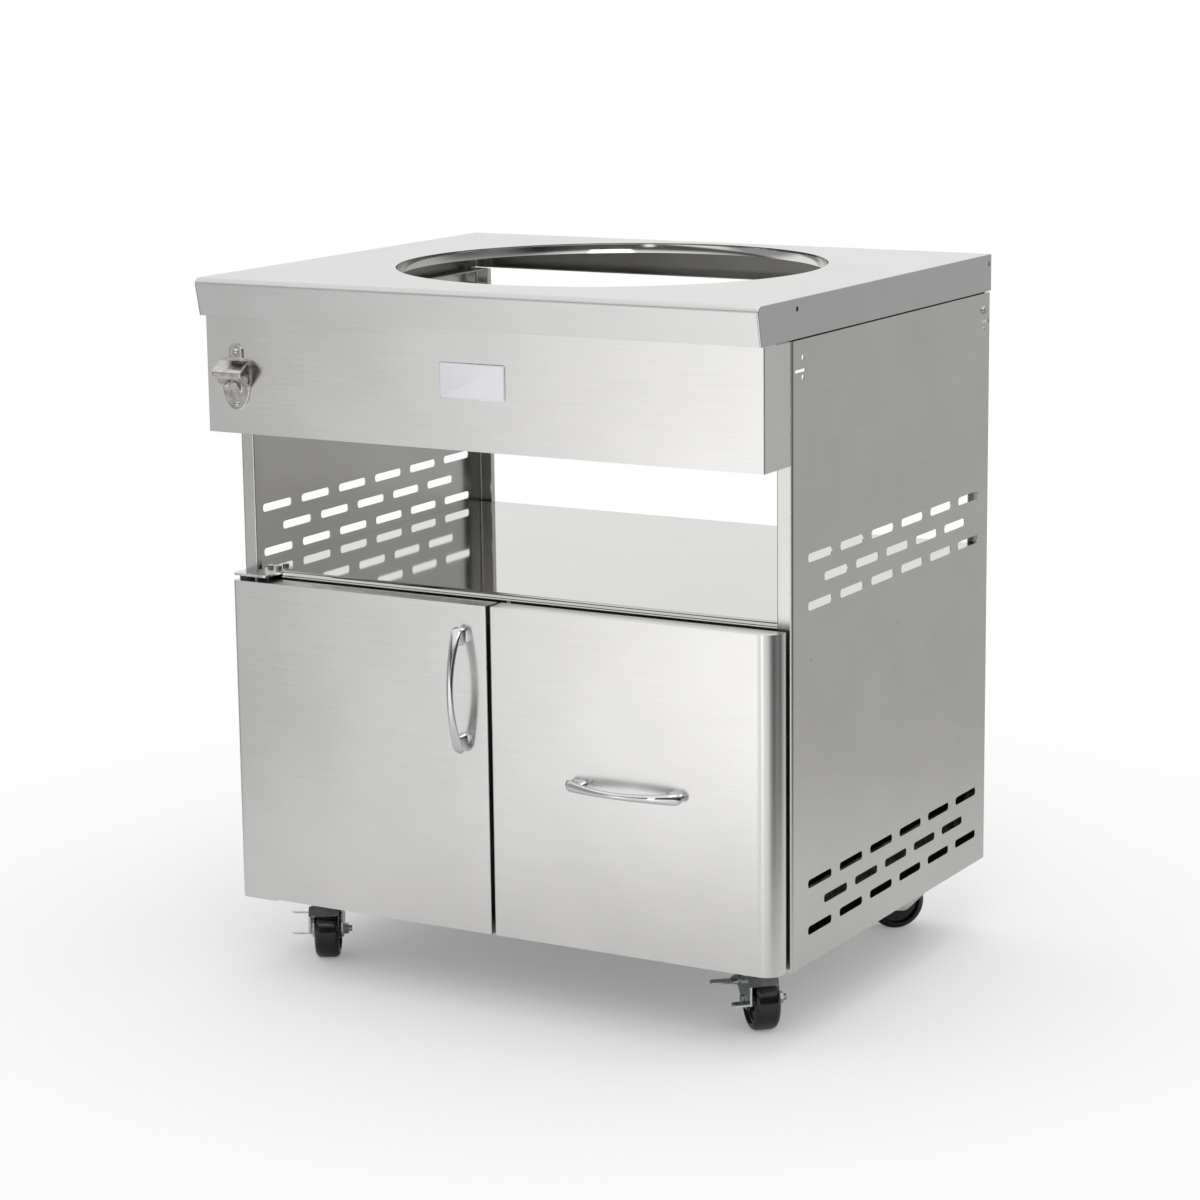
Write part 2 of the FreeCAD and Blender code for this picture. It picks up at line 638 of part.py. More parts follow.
def side_panel():
    """The right side panel; the left one is its mirror image."""
    line = [(LIP_X, BODY_FRONT + FRONT_LIP), (LIP_X, BODY_FRONT), (BODY_X, BODY_FRONT),
            (BODY_X, BODY_REAR), (BODY_X - REAR_FLANGE, BODY_REAR),
            (BODY_X - REAR_FLANGE, BODY_REAR - REAR_RETURN)]
    height = BODY_TOP - BODY_BOTTOM
    wall = bent_sheet(line, SHEET, [0, TIGHT_BEND, BEND_RADIUS, BEND_RADIUS, TIGHT_BEND, 0],
                      on_plan(BODY_BOTTOM), Z_AXIS * height)
    inset = SHEET + BEND_RADIUS
    pieces = [wall]
    for z in (BODY_BOTTOM, BODY_TOP - SHEET):
        pieces.append(box(BODY_X - CROSS_FLANGE, BODY_INNER_X + SHEET / 2,
                          BODY_FRONT + FRONT_LIP + SHEET, BODY_REAR - REAR_RETURN - SHEET, z, z + SHEET))
        pieces.append(box(LIP_X + SHEET + SEAT, BODY_INNER_X + SHEET / 2,
                          BODY_FRONT + inset, BODY_REAR - inset, z, z + SHEET))
    panel = joined(pieces)
    cutters = vent_slots(UPPER_SLOTS_Z) + vent_slots(LOWER_SLOTS_Z) + accessory_holes()
    for y, z in rivet_places():
        cutters.append(rod(V(BODY_INNER_X - 1, y, z), X_AXIS, RIVET_RADIUS, SHEET + 2))
    for x, y in top_bolt_places():
        if x > 0:
            cutters.append(rod(V(x, y, BODY_TOP - SHEET - 1), Z_AXIS, TOP_BOLT_RADIUS, SHEET + 2))
    return without(panel, cutters)


def accessory_screws():
    """Spare pan-head screws left in the upper rear holes of both panels."""
    y = BODY_REAR - ACCESSORY_INSET_REAR
    z = ACCESSORY_HOLES_Z + ACCESSORY_HOLE_RISE / 2
    head = rod(V(BODY_X, y, z), X_AXIS, ACCESSORY_SCREW_HEAD, ACCESSORY_SCREW_HEAD / 2)
    rim = [edge for edge in head.Edges
           if abs(edge.BoundBox.XMin - BODY_X) > 1 and edge.Curve.TypeId.endswith("Circle")]
    head = head.makeFillet(ACCESSORY_SCREW_HEAD / 4, rim)
    shank = rod(V(BODY_X - ACCESSORY_SCREW_LENGTH, y, z), X_AXIS,
                ACCESSORY_HOLE - KINGPIN_CLEARANCE, ACCESSORY_SCREW_LENGTH)
    right = joined([head, shank])
    return [right, mirrored(right)]


def kamado_shelf():
    """The shelf that the kamado's feet stand on, with a bullnose front."""
    x = SHELF_X
    line = [(REAR_INNER_Y, SHELF_FLANGE_BOTTOM), (REAR_INNER_Y, SHELF_TOP),
            (SHELF_FRONT, SHELF_TOP), (SHELF_FRONT, SHELF_FLANGE_BOTTOM)]
    pan = bent_sheet(line, SHELF_SHEET, [0, TIGHT_BEND, SHELF_NOSE_RADIUS, 0],
                     on_side(-x), X_AXIS * (2 * x))
    flange_low = SHELF_TOP - SHELF_SIDE_DROP
    front = BODY_FRONT + FRONT_LIP + SHEET
    side = box(x - SHELF_SHEET, x, front, REAR_INNER_Y - REAR_RETURN, flange_low, SHELF_TOP - SHELF_SHEET / 2)
    shelf = joined([pan, side, mirrored(side)])
    notch = box(LIP_CLEAR, BODY_X, BODY_FRONT - 1, BODY_FRONT + FRONT_LIP + SEAT,
                flange_low - 1, SHELF_TOP + 1)
    rear_notch = box(REAR_CLEAR, BODY_X, BODY_REAR - REAR_RETURN - SEAT, BODY_REAR,
                     flange_low - 1, SHELF_TOP + 1)
    hinge_notch = box(-BODY_X, hinge_right() + SEAT, SHELF_FRONT - 1,
                      SHELF_FRONT + SHELF_NOSE_RADIUS + SHELF_SHEET + SEAT,
                      SHELF_FLANGE_BOTTOM - 1, SHELF_TOP + 1)
    shelf = joined([shelf, hinge_pocket(SHELF_SHEET, POCKET_BOTTOM, SHELF_UNDER + SHELF_SHEET / 2)])
    pocket = hinge_pocket(0, TOP_PLATE_BOTTOM, SHELF_TOP + 1)
    cutters = [notch, mirrored(notch), rear_notch, mirrored(rear_notch), hinge_notch, pocket]
    for y, z in rivet_places():
        cutters.append(rod(V(-BODY_X, y, z), X_AXIS, RIVET_RADIUS, 2 * BODY_X))
    for px, py in hinge_bolt_places():
        cutters.append(rod(V(px, py, POCKET_BOTTOM - 1), Z_AXIS, HINGE_BOLT_RADIUS, SHELF_SHEET + 2))
    return without(shelf, cutters)


def hinge_pocket(wall, low, high):
    """The pressed pocket that lets the upper hinge plate lie flush with the shelf."""
    left = hinge_inside() - POCKET_GAP - wall
    right = hinge_right() + POCKET_GAP + wall
    front = SHELF_FRONT + SHELF_NOSE_RADIUS + SHELF_SHEET + SEAT
    rear = BODY_FRONT + HINGE_PLATE_TAIL + POCKET_GAP + wall
    corner = HINGE_CORNER + POCKET_GAP + wall
    start = front - (1 if wall == 0 else 0)
    return outline([(left, start), (right, start), (right, rear), (left, rear)],
                   [0, 0, corner, corner], on_plan(low), Z_AXIS * (high - low))


def shelf_rivets():
    """Rivets that hold the shelf's side flanges to the side panels."""
    solids = []
    for y, z in rivet_places():
        shank = rod(V(SHELF_X - SHELF_SHEET - RIVET_HEAD_HEIGHT, y, z), X_AXIS,
                    RIVET_RADIUS - KINGPIN_CLEARANCE,
                    BODY_X - SHELF_X + SHELF_SHEET + 2 * RIVET_HEAD_HEIGHT)
        head = rod(V(BODY_X, y, z), X_AXIS, RIVET_HEAD, RIVET_HEAD_HEIGHT)
        tail = rod(V(SHELF_X - SHELF_SHEET, y, z), X_AXIS * -1, RIVET_HEAD, RIVET_HEAD_HEIGHT)
        rivet = joined([shank, head, tail])
        solids += [rivet, mirrored(rivet)]
    return solids


def cabinet_back_panel():
    """Closes the cupboard's rear below the shelf, with two vent holes low down."""
    panel = box(-SHELF_X, SHELF_X, REAR_INNER_Y - SHEET, REAR_INNER_Y, FLOOR_TOP, SHELF_FLANGE_BOTTOM)
    lips = box(REAR_CLEAR, BODY_X, BODY_REAR - REAR_RETURN - SEAT, BODY_REAR,
               FLOOR_TOP - 1, SHELF_FLANGE_BOTTOM + 1)
    vents = [rod(V(side * BACK_VENT_X, BODY_REAR - REAR_RETURN, BACK_VENT_Z), Y_AXIS,
                 BACK_VENT_RADIUS, REAR_RETURN) for side in (-1, 1)]
    return without(panel, [lips, mirrored(lips)] + vents)


def cabinet_floor():
    """The floor that the casters bolt to; it rests on the side panels' bottom flanges."""
    panel = box(-SHELF_X, SHELF_X, BODY_FRONT + FRONT_LIP + SEAT, REAR_INNER_Y, FLOOR_BOTTOM, FLOOR_TOP)
    tongue = box(-LIP_CLEAR, LIP_CLEAR, SHELF_FRONT, BODY_FRONT + FRONT_LIP + 1, FLOOR_BOTTOM, FLOOR_TOP)
    panel = joined([panel, tongue])
    lips = box(REAR_CLEAR, BODY_X, BODY_REAR - REAR_RETURN - SEAT, BODY_REAR,
               FLOOR_BOTTOM - 1, FLOOR_TOP + 1)
    cutters = [lips, mirrored(lips)]
    for x, y in hinge_bolt_places():
        cutters.append(rod(V(x, y, FLOOR_BOTTOM - 1), Z_AXIS, HINGE_BOLT_RADIUS, FLOOR_SHEET + 2))
    for bx, by in caster_bolt_places():
        cutters.append(rod(V(bx, by, FLOOR_BOTTOM - 1), Z_AXIS, CASTER_BOLT_RADIUS, FLOOR_SHEET + 2))
    return without(panel, cutters)


def centre_divider():
    """Wall between cupboard and drawer bay, flanged to the floor and the shelf."""
    left = DIVIDER_X - SHEET / 2
    line = [(left - DIVIDER_FLANGE, FLOOR_TOP), (left, FLOOR_TOP),
            (left, SHELF_UNDER), (left - DIVIDER_FLANGE, SHELF_UNDER)]
    front = SHELF_FRONT + SHELF_SHEET + SHELF_NOSE_RADIUS
    rear = REAR_INNER_Y - SHELF_SHEET - TIGHT_BEND - SEAT
    shift = [(x + SHEET, z) for x, z in line]
    return bent_sheet(shift, SHEET, TIGHT_BEND, on_side_section(front), Y_AXIS * (rear - front))


def front_valance():
    """The apron box between the table top and the open bay."""
    flange_x = LIP_X
    rear = BODY_FRONT - SEAT
    line = [(-flange_x, rear), (-VALANCE_X, rear), (-VALANCE_X, VALANCE_FRONT),
            (VALANCE_X, VALANCE_FRONT), (VALANCE_X, rear), (flange_x, rear)]
    wall = bent_sheet(line, SHEET, TIGHT_BEND, on_plan(VALANCE_BOTTOM), Z_AXIS * (VALANCE_TOP - VALANCE_BOTTOM))
    lip = box(-VALANCE_X + SHEET / 2, VALANCE_X - SHEET / 2, VALANCE_FRONT + SHEET / 2,
              VALANCE_FRONT + VALANCE_LIP, VALANCE_BOTTOM, VALANCE_BOTTOM + SHEET)
    room = box(-TOP_X, TOP_X, VALANCE_FRONT + RAIL_FRONT_LENGTH_GAP - SEAT, BODY_FRONT + 1,
               BODY_TOP - SEAT, TOP_HEIGHT)
    valance = joined([wall, lip]).cut(room)
    cutters = [rod(V(OPENER_X, VALANCE_FRONT - 1, z), Y_AXIS, OPENER_SCREW_RADIUS, SHEET + 2)
               for z in opener_screw_heights()]
    return without(valance, cutters)


def badge_plate():
    """A bare plate with rounded corners and a softened face."""
    w, h = BADGE_WIDTH / 2, BADGE_HEIGHT / 2
    points = [(-w, BADGE_Z - h), (w, BADGE_Z - h), (w, BADGE_Z + h), (-w, BADGE_Z + h)]
    plate = outline(points, BADGE_THICKNESS / 2, on_front(VALANCE_FRONT), Y_AXIS * -BADGE_THICKNESS)
    front = [edge for edge in plate.Edges
             if abs(edge.BoundBox.YMax - (VALANCE_FRONT - BADGE_THICKNESS)) < 1e-3]
    return plate.makeFillet(BADGE_THICKNESS / 4, front)


def opener_screw_heights():
    upper = OPENER_TOP - OPENER_TAB_RADIUS
    return [upper, upper - OPENER_SCREW_SPACING]


def bottle_opener():
    """A cast wall opener: tab, shield plate, curved hood and a tooth under the hood."""
    back = VALANCE_FRONT
    face = back - OPENER_PLATE
    upper, lower = opener_screw_heights()
    bottom = OPENER_TOP - OPENER_HEIGHT
    half = OPENER_SHIELD_WIDTH / 2
    waist = upper - OPENER_TAB_RADIUS
    shoulder = bottom + OPENER_SHOULDER
    place = on_front(back)
    shield = outline(
        [(OPENER_X - half, shoulder), (OPENER_X - half * OPENER_FOOT_SHARE, bottom),
         (OPENER_X + half * OPENER_FOOT_SHARE, bottom), (OPENER_X + half, shoulder),
         (OPENER_X + half, waist), (OPENER_X - half, waist)],
        [OPENER_SIDE_RADIUS, OPENER_FOOT_RADIUS, OPENER_FOOT_RADIUS, OPENER_SIDE_RADIUS,
         OPENER_WAIST_CORNER, OPENER_WAIST_CORNER],
        place, Y_AXIS * -OPENER_PLATE)
    tab = joined([rod(V(OPENER_X, face, upper), Y_AXIS, OPENER_TAB_RADIUS, OPENER_PLATE),
                  box(OPENER_X - OPENER_TAB_RADIUS, OPENER_X + OPENER_TAB_RADIUS, face, back,
                      waist - 1, upper)])
    reach, wall, drop = OPENER_HOOD_REACH, OPENER_HOOD_WALL, OPENER_HOOD_DROP
    low = waist - drop - OPENER_LIP
    hood_line = [(back - OPENER_PLATE / 2, waist - wall / 2),
                 (back - reach * OPENER_ROOF_SHARE, waist - wall / 2 - OPENER_FALL),
                 (back - reach, waist - drop), (back - reach + OPENER_CURL, low)]
    hood = bent_sheet(hood_line, wall, [0, OPENER_LIP, OPENER_NOSE_BEND, 0],
                      on_side(OPENER_X - OPENER_HOOD_WIDTH / 2), X_AXIS * OPENER_HOOD_WIDTH)
    rise, tip = OPENER_TOOTH_HEIGHT, face - OPENER_TOOTH
    tooth = outline([(face + OPENER_PLATE / 3, low + rise), (tip, low + rise / 6), (tip, low - rise / 3),
                     (face + OPENER_PLATE / 3, low - rise)],
                    rise / 8, on_side(OPENER_X - OPENER_TOOTH_WIDTH / 2), X_AXIS * OPENER_TOOTH_WIDTH)
    notch = rod(V(OPENER_X, back - reach - 1, low - rise / 3), Y_AXIS, OPENER_NOTCH, reach - OPENER_PLATE - 1)
    body = joined([shield, tab, hood.cut(notch), tooth])
    holes = [rod(V(OPENER_X, face - 1, z), Y_AXIS, OPENER_SCREW_RADIUS, OPENER_PLATE + 2)
             for z in (upper, lower)]
    return without(body, holes)


def opener_screws():
    """Button-head screws with a hexagon socket, through the opener into the valance."""
    solids = []
    face = VALANCE_FRONT - OPENER_PLATE
    size = OPENER_SCREW_HEAD
    for z in opener_screw_heights():
        ball = Part.makeSphere(size * 1.25, V(OPENER_X, face + size * 0.75, z))
        head = ball.common(box(OPENER_X - 2 * size, OPENER_X + 2 * size, face - 2 * size, face,
                               z - 2 * size, z + 2 * size))
        socket = hexagon(V(OPENER_X, face - size, z), Y_AXIS, OPENER_SCREW_SOCKET, size * 0.8)
        shank = rod(V(OPENER_X, face - SEAT / 2, z), Y_AXIS, OPENER_SCREW_RADIUS - KINGPIN_CLEARANCE,
                    OPENER_PLATE + 4 * SHEET)
        solids.append(joined([head.cut(socket), shank]))
    return solids


def hinge_right():
    return -HINGE_LEFT + HINGE_PLATE_WIDTH


def hinge_inside():
    return CROSS_FLANGE + SEAT - BODY_X


def hinge_bolt_places():
    """Three bolts in the tail of each hinge plate, behind the panel's front flange."""
    x = hinge_inside() + HINGE_BOLT_INSET
    y = BODY_FRONT + HINGE_BOLT_SETBACK
    across = x + HINGE_BOLT_SPACING
    return [(x, y), (across, y), (across, y + HINGE_BOLT_PITCH)]


def hinge_plate(z):
    """An L-shaped plate: its tail bolts inside the body and its head carries the pivot."""
    left, right = -HINGE_LEFT, hinge_right()
    front = BODY_FRONT - HINGE_PLATE_REACH
    step = BODY_FRONT - SEAT
    inside = hinge_inside()
    points = [(left, front), (right, front), (right, BODY_FRONT + HINGE_PLATE_TAIL),
              (inside, BODY_FRONT + HINGE_PLATE_TAIL), (inside, step), (left, step)]
    corners = [HINGE_CORNER, HINGE_CORNER, HINGE_CORNER, HINGE_CORNER, 0, HINGE_CORNER / 2]
    plate = outline(points, corners, on_plan(z), Z_AXIS * HINGE_PLATE)
    holes = [rod(V(x, y, z - 1), Z_AXIS, HINGE_BOLT_RADIUS, HINGE_PLATE + 2) for x, y in hinge_bolt_places()]
    holes.append(rod(V(PIVOT_X, PIVOT_Y, z - 1), Z_AXIS, PIVOT_RADIUS, HINGE_PLATE + 2))
    return without(plate, holes)


def hinge_pins():
    """Pivot pins that reach into the door: the upper one flush, the lower one headed."""
    upper = rod(V(PIVOT_X, PIVOT_Y, FRONT_TOP - PIVOT_ENGAGEMENT), Z_AXIS, PIVOT_RADIUS,
                SHELF_TOP - FRONT_TOP + PIVOT_ENGAGEMENT)
    lower = joined([
        rod(V(PIVOT_X, PIVOT_Y, LOW_PLATE_BOTTOM), Z_AXIS, PIVOT_RADIUS,
            FRONT_BOTTOM - LOW_PLATE_BOTTOM + PIVOT_ENGAGEMENT),
        rod(V(PIVOT_X, PIVOT_Y, LOW_PLATE_BOTTOM - PIVOT_RADIUS / 2), Z_AXIS,
            PIVOT_RADIUS * 1.5, PIVOT_RADIUS / 2)])
    return [upper, lower]


def hinge_bolts():
    solids = []
    for x, y in hinge_bolt_places():
        for head, tip, way in ((SHELF_TOP, POCKET_BOTTOM, 1), (LOW_PLATE_BOTTOM, FLOOR_TOP, -1)):
            cap = hexagon(V(x, y, head), Z_AXIS * way, HINGE_BOLT_FLATS, HINGE_BOLT_HEAD)
            shank = rod(V(x, y, head), Z_AXIS * -way, HINGE_BOLT_RADIUS - KINGPIN_CLEARANCE, abs(head - tip))
            solids.append(joined([cap, shank]))
    return solids


def front_pan(left, right, left_corner, right_corner):
    """The skin of a door or drawer front: a face with its four edges folded back."""
    back = LINER_Y - SHEET
    line = [(left, back), (left, FACE_Y), (right, FACE_Y), (right, back)]
    wall = bent_sheet(line, SHEET, [0, left_corner - SHEET, right_corner - SHEET, 0],
                      on_plan(FRONT_BOTTOM), Z_AXIS * (FRONT_TOP - FRONT_BOTTOM))
    pieces = [wall]
    for z in (FRONT_BOTTOM, FRONT_TOP - SHEET):
        pieces.append(outline([(left, FACE_Y), (right, FACE_Y), (right, back), (left, back)],
                              [left_corner, right_corner, 0, 0], on_plan(z), Z_AXIS * SHEET))
    return joined(pieces)


def front_liner(left, right, corner):
    """The flat inner sheet that closes the back of a door or drawer front."""
    lip = min(LINER_LIP, FRONT_DEPTH - SHEET - corner - LINER_GAP)
    inset = SHEET + LINER_GAP
    plate = box(left, right, LINER_Y - SHEET, LINER_Y, FRONT_BOTTOM, FRONT_TOP)
    rim = box(left + inset, right - inset, LINER_Y - SHEET - lip, LINER_Y - SHEET,
              FRONT_BOTTOM + inset, FRONT_TOP - inset)
    hollow = box(left + inset + SHEET, right - inset - SHEET, LINER_Y - SHEET - lip - 1, LINER_Y - SHEET,
                 FRONT_BOTTOM + inset + SHEET, FRONT_TOP - inset - SHEET)
    return joined([plate, rim.cut(hollow)])


def bush_cutters():
    """Room for the pivot bushes in the door's top and bottom."""
    radius = PIVOT_RADIUS + PIVOT_CLEARANCE + BUSH_WALL
    return [rod(V(PIVOT_X, PIVOT_Y, FRONT_BOTTOM - 1), Z_AXIS, radius, BUSH_DEPTH + 1),
            rod(V(PIVOT_X, PIVOT_Y, FRONT_TOP - BUSH_DEPTH), Z_AXIS, radius, BUSH_DEPTH + 1)]


def door_bushes():
    """Flanged plastic bushes that the pivot pins turn in."""
    bore = PIVOT_RADIUS + PIVOT_CLEARANCE
    radius = bore + BUSH_WALL
    top_flange = TOP_PLATE_BOTTOM - WASHER_GAP - FRONT_TOP
    low_flange = FRONT_BOTTOM - FLOOR_BOTTOM - BUSH_SEAT
    upper = joined([rod(V(PIVOT_X, PIVOT_Y, FRONT_TOP - BUSH_DEPTH), Z_AXIS, radius, BUSH_DEPTH),
                    rod(V(PIVOT_X, PIVOT_Y, FRONT_TOP), Z_AXIS, BUSH_FLANGE_RADIUS, top_flange)])
    lower = joined([rod(V(PIVOT_X, PIVOT_Y, FRONT_BOTTOM), Z_AXIS, radius, BUSH_DEPTH),
                    rod(V(PIVOT_X, PIVOT_Y, FRONT_BOTTOM), Z_AXIS * -1, BUSH_FLANGE_RADIUS, low_flange)])
    hole = rod(V(PIVOT_X, PIVOT_Y, 0), Z_AXIS, bore, TOP_HEIGHT)
    return [upper.cut(hole), lower.cut(hole)]


def handle_screw_cutters(x, z, along):
    return [rod(V(x, FACE_Y - 1, z) + along * (step * HANDLE_SPACING / 2), Y_AXIS,
                HANDLE_SCREW_RADIUS, SHEET + 2) for step in (-1, 1)]


def door_skin():
    pan = front_pan(DOOR_LEFT, DOOR_RIGHT, DOOR_CORNER, SHEET + TIGHT_BEND)
    return without(pan, bush_cutters() + handle_screw_cutters(DOOR_HANDLE_X, DOOR_HANDLE_Z, Z_AXIS))


def door_liner():
    return without(front_liner(DOOR_LEFT, DOOR_RIGHT, DOOR_CORNER), bush_cutters())


def drawer_skin():
    pan = front_pan(DRAWER_LEFT, DRAWER_RIGHT, SHEET + TIGHT_BEND, DRAWER_CORNER)
    return without(pan, handle_screw_cutters(DRAWER_HANDLE_X, DRAWER_HANDLE_Z, X_AXIS))


def drawer_liner():
    return front_liner(DRAWER_LEFT, DRAWER_RIGHT, DRAWER_CORNER)


def bow_reach(share):
    """How far the bar's middle line stands off the front, at a share of its half length."""
    return HANDLE_END_REACH + (HANDLE_REACH - HANDLE_END_REACH) * (1 - share * share)


def handle_foot(centre, along, step):
    """The foot under one end of the bar: a rounded web from the front up to the bar's middle line."""
    half = HANDLE_LENGTH / 2
    across = along.cross(Y_AXIS)
    far = half - HANDLE_FOOT_INSET
    near = far - HANDLE_FOOT_LENGTH
    plan = [centre + along * (step * a) + across * (b * HANDLE_FOOT_WIDTH / 2)
            for a, b in ((near, -1), (far, -1), (far, 1), (near, 1))]
    pad = outline([(p.x, p.z) for p in plan], 0.49 * HANDLE_FOOT_WIDTH, on_side_section(centre.y),
                  Y_AXIS * -bow_reach(near / half))
    side = [centre + along * (step * a) - Y_AXIS * b - across * HANDLE_FOOT_WIDTH
            for a, b in ((near, 0), (far, 0), (far, bow_reach(far / half)), (near, bow_reach(near / half)))]
    profile = Part.Face(Part.makePolygon(side + side[:1])).extrude(across * (2 * HANDLE_FOOT_WIDTH))
    return pad.common(profile)


def bow_handle(x, z, along):
    """A bow pull: an oval bar with rounded tips, arched over two feet."""
    half = HANDLE_LENGTH / 2
    across = along.cross(Y_AXIS)
    tip = HANDLE_END_WIDTH / 2
    sections = []
    for k in range(HANDLE_SECTIONS):
        share = math.sin(math.pi * (k / (HANDLE_SECTIONS - 1) - 0.5)) * 0.9995
        slope = -2 * share * (HANDLE_REACH - HANDLE_END_REACH) / half
        size = math.hypot(1, slope)
        tangent = (along - Y_AXIS * slope) * (1 / size)
        normal = tangent.cross(across)
        centre = V(x, FACE_Y, z) + along * (share * half) - Y_AXIS * bow_reach(share)
        width = HANDLE_MIDDLE_WIDTH + (HANDLE_END_WIDTH - HANDLE_MIDDLE_WIDTH) * share * share
        into_tip = max(0.0, abs(share) * half - half + tip) / tip
        taper = math.sqrt(1 - into_tip * into_tip)
        major, minor = across * (width / 2 * taper), normal * (HANDLE_THICKNESS / 2 * taper)
        ellipse = Part.Ellipse(centre + major, centre + minor, centre)
        sections.append(Part.Wire(ellipse.toShape()))
    bar = Part.makeLoft(sections, True, False)
    centre = V(x, FACE_Y, z)
    holes = [rod(centre + along * (step * HANDLE_SPACING / 2) - Y_AXIS * HANDLE_SCREW_DEPTH, Y_AXIS,
                 HANDLE_SCREW_RADIUS, HANDLE_SCREW_DEPTH + 1) for step in (-1, 1)]
    return without(joined([bar] + [handle_foot(centre, along, step) for step in (-1, 1)]), holes)


def handle_screws(x, z, along):
    """Machine screws from inside the front into the handle's feet."""
    solids = []
    for step in (-1, 1):
        foot = V(x, FACE_Y, z) + along * (step * HANDLE_SPACING / 2)
        shank = rod(foot - Y_AXIS * (HANDLE_SCREW_DEPTH - SEAT), Y_AXIS,
                    HANDLE_SCREW_RADIUS - KINGPIN_CLEARANCE, HANDLE_SCREW_DEPTH - SEAT + SHEET)
        head = rod(foot + Y_AXIS * SHEET, Y_AXIS, HANDLE_SCREW_HEAD, HANDLE_SCREW_HEAD * 0.6)
        solids.append(joined([shank, head]))
    return solids


def catch_parts():
    """A magnet catch on the divider and its strike plate on the door's liner."""
    top = FRONT_TOP - CATCH_TOP_DROP
    right = DIVIDER_X - SHEET / 2
    front = LINER_Y + STRIKE_SHEET + CATCH_GAP
    rear = SHELF_FRONT + SHELF_SHEET + SHELF_NOSE_RADIUS + 2 * CATCH_WIDTH
    catch = box(right - CATCH_WIDTH, right, front, rear, top - CATCH_HEIGHT, top)
    strike = box(right - CATCH_WIDTH - SEAT, DOOR_RIGHT - 2 * SEAT, LINER_Y, LINER_Y + STRIKE_SHEET,
                 top - CATCH_HEIGHT, top)
    return catch, strike


def tray():
    """The pull-out tray behind the drawer front, with rolled side rims."""
    lip, low, rim = TRAY_RIM_LIP, TRAY_BOTTOM, TRAY_RIM
    line = [(TRAY_LEFT - lip, rim), (TRAY_LEFT, rim), (TRAY_LEFT, low), (TRAY_RIGHT, low),
            (TRAY_RIGHT, rim), (TRAY_RIGHT + lip, rim)]
    front, rear = LINER_Y, TRAY_REAR
    trough = bent_sheet(line, TRAY_SHEET, TIGHT_BEND, on_side_section(front), Y_AXIS * (rear - front))
    ends = [box(TRAY_LEFT + TRAY_SHEET / 2, TRAY_RIGHT - TRAY_SHEET / 2, y, y + TRAY_SHEET,
                low + TRAY_SHEET / 2, rim) for y in (front, rear - TRAY_SHEET)]
    return joined([trough] + ends)


def gussets():
    """Folded triangular braces that hold the tall front square to the tray."""
    solids = []
    for x, way in ((TRAY_LEFT + TRAY_SHEET, 1), (TRAY_RIGHT - TRAY_SHEET, -1)):
        low = TRAY_BOTTOM + TRAY_SHEET + TIGHT_BEND
        front = LINER_Y + TRAY_SHEET
        web = outline([(front, low), (front + GUSSET_DEPTH, low), (front + GUSSET_DEPTH, TRAY_RIM),
                       (front + GUSSET_FLANGE, low + GUSSET_HEIGHT), (front, low + GUSSET_HEIGHT)],
                      0, on_side(x), X_AXIS * (way * GUSSET_SHEET))
        flange_x = sorted((x, x + way * GUSSET_FLANGE))
        flange = box(flange_x[0], flange_x[1], LINER_Y, LINER_Y + GUSSET_SHEET, TRAY_RIM, low + GUSSET_HEIGHT)
        rise = box(*sorted((x, x + way * GUSSET_SHEET)), LINER_Y, front + 1, TRAY_RIM, low + GUSSET_HEIGHT)
        solids.append(joined([web, flange, rise]))
    return solids


def slide_member(x, way, near, far, height):
    """A C-section slide member: its web faces away from way and its lips turn in."""
    middle = SLIDE_BOTTOM + SLIDE_HEIGHT / 2
    low, high = middle - height / 2, middle + height / 2
    line = [(x + way * far, low + SLIDE_LIP), (x + way * far, low), (x + way * near, low),
            (x + way * near, high), (x + way * far, high), (x + way * far, high - SLIDE_LIP)]
    if way > 0:
        line.reverse()
    return bent_sheet(line, SLIDE_SHEET, TIGHT_BEND, on_side_section(SLIDE_FRONT), Y_AXIS * SLIDE_LENGTH)


def slide(x, way):
    """Outer, middle and inner members of one telescopic slide, nested in line."""
    step = SLIDE_SHEET + SLIDE_RUNNING_GAP
    outer = slide_member(x, way, 0, SLIDE_DEPTH - SLIDE_SHEET, SLIDE_HEIGHT)
    middle_height = SLIDE_HEIGHT - 2 * step
    middle = slide_member(x, way, step, SLIDE_DEPTH - SLIDE_SHEET - step, middle_height)
    core = SLIDE_BOTTOM + SLIDE_HEIGHT / 2
    stem_near = 2 * step + SEAT
    head = box(*sorted((x + way * stem_near, x + way * (SLIDE_DEPTH - SLIDE_SHEET - 2 * step))),
               SLIDE_FRONT, SLIDE_FRONT + SLIDE_LENGTH,
               core - middle_height / 2 + step, core + middle_height / 2 - step)
    reach = middle_height / 2 - SLIDE_LIP - SLIDE_RUNNING_GAP
    neck = box(*sorted((x + way * stem_near, x + way * SLIDE_DEPTH)),
               SLIDE_FRONT, SLIDE_FRONT + SLIDE_LENGTH, core - reach, core + reach)
    room = box(*sorted((x + way * (stem_near + SLIDE_SHEET), x + way * (SLIDE_DEPTH - SLIDE_SHEET))),
               SLIDE_FRONT - 1, SLIDE_FRONT + SLIDE_LENGTH + 1,
               core - reach + SLIDE_SHEET, core + reach - SLIDE_SHEET)
    inner = joined([head, neck]).cut(room)
    return outer, middle, inner


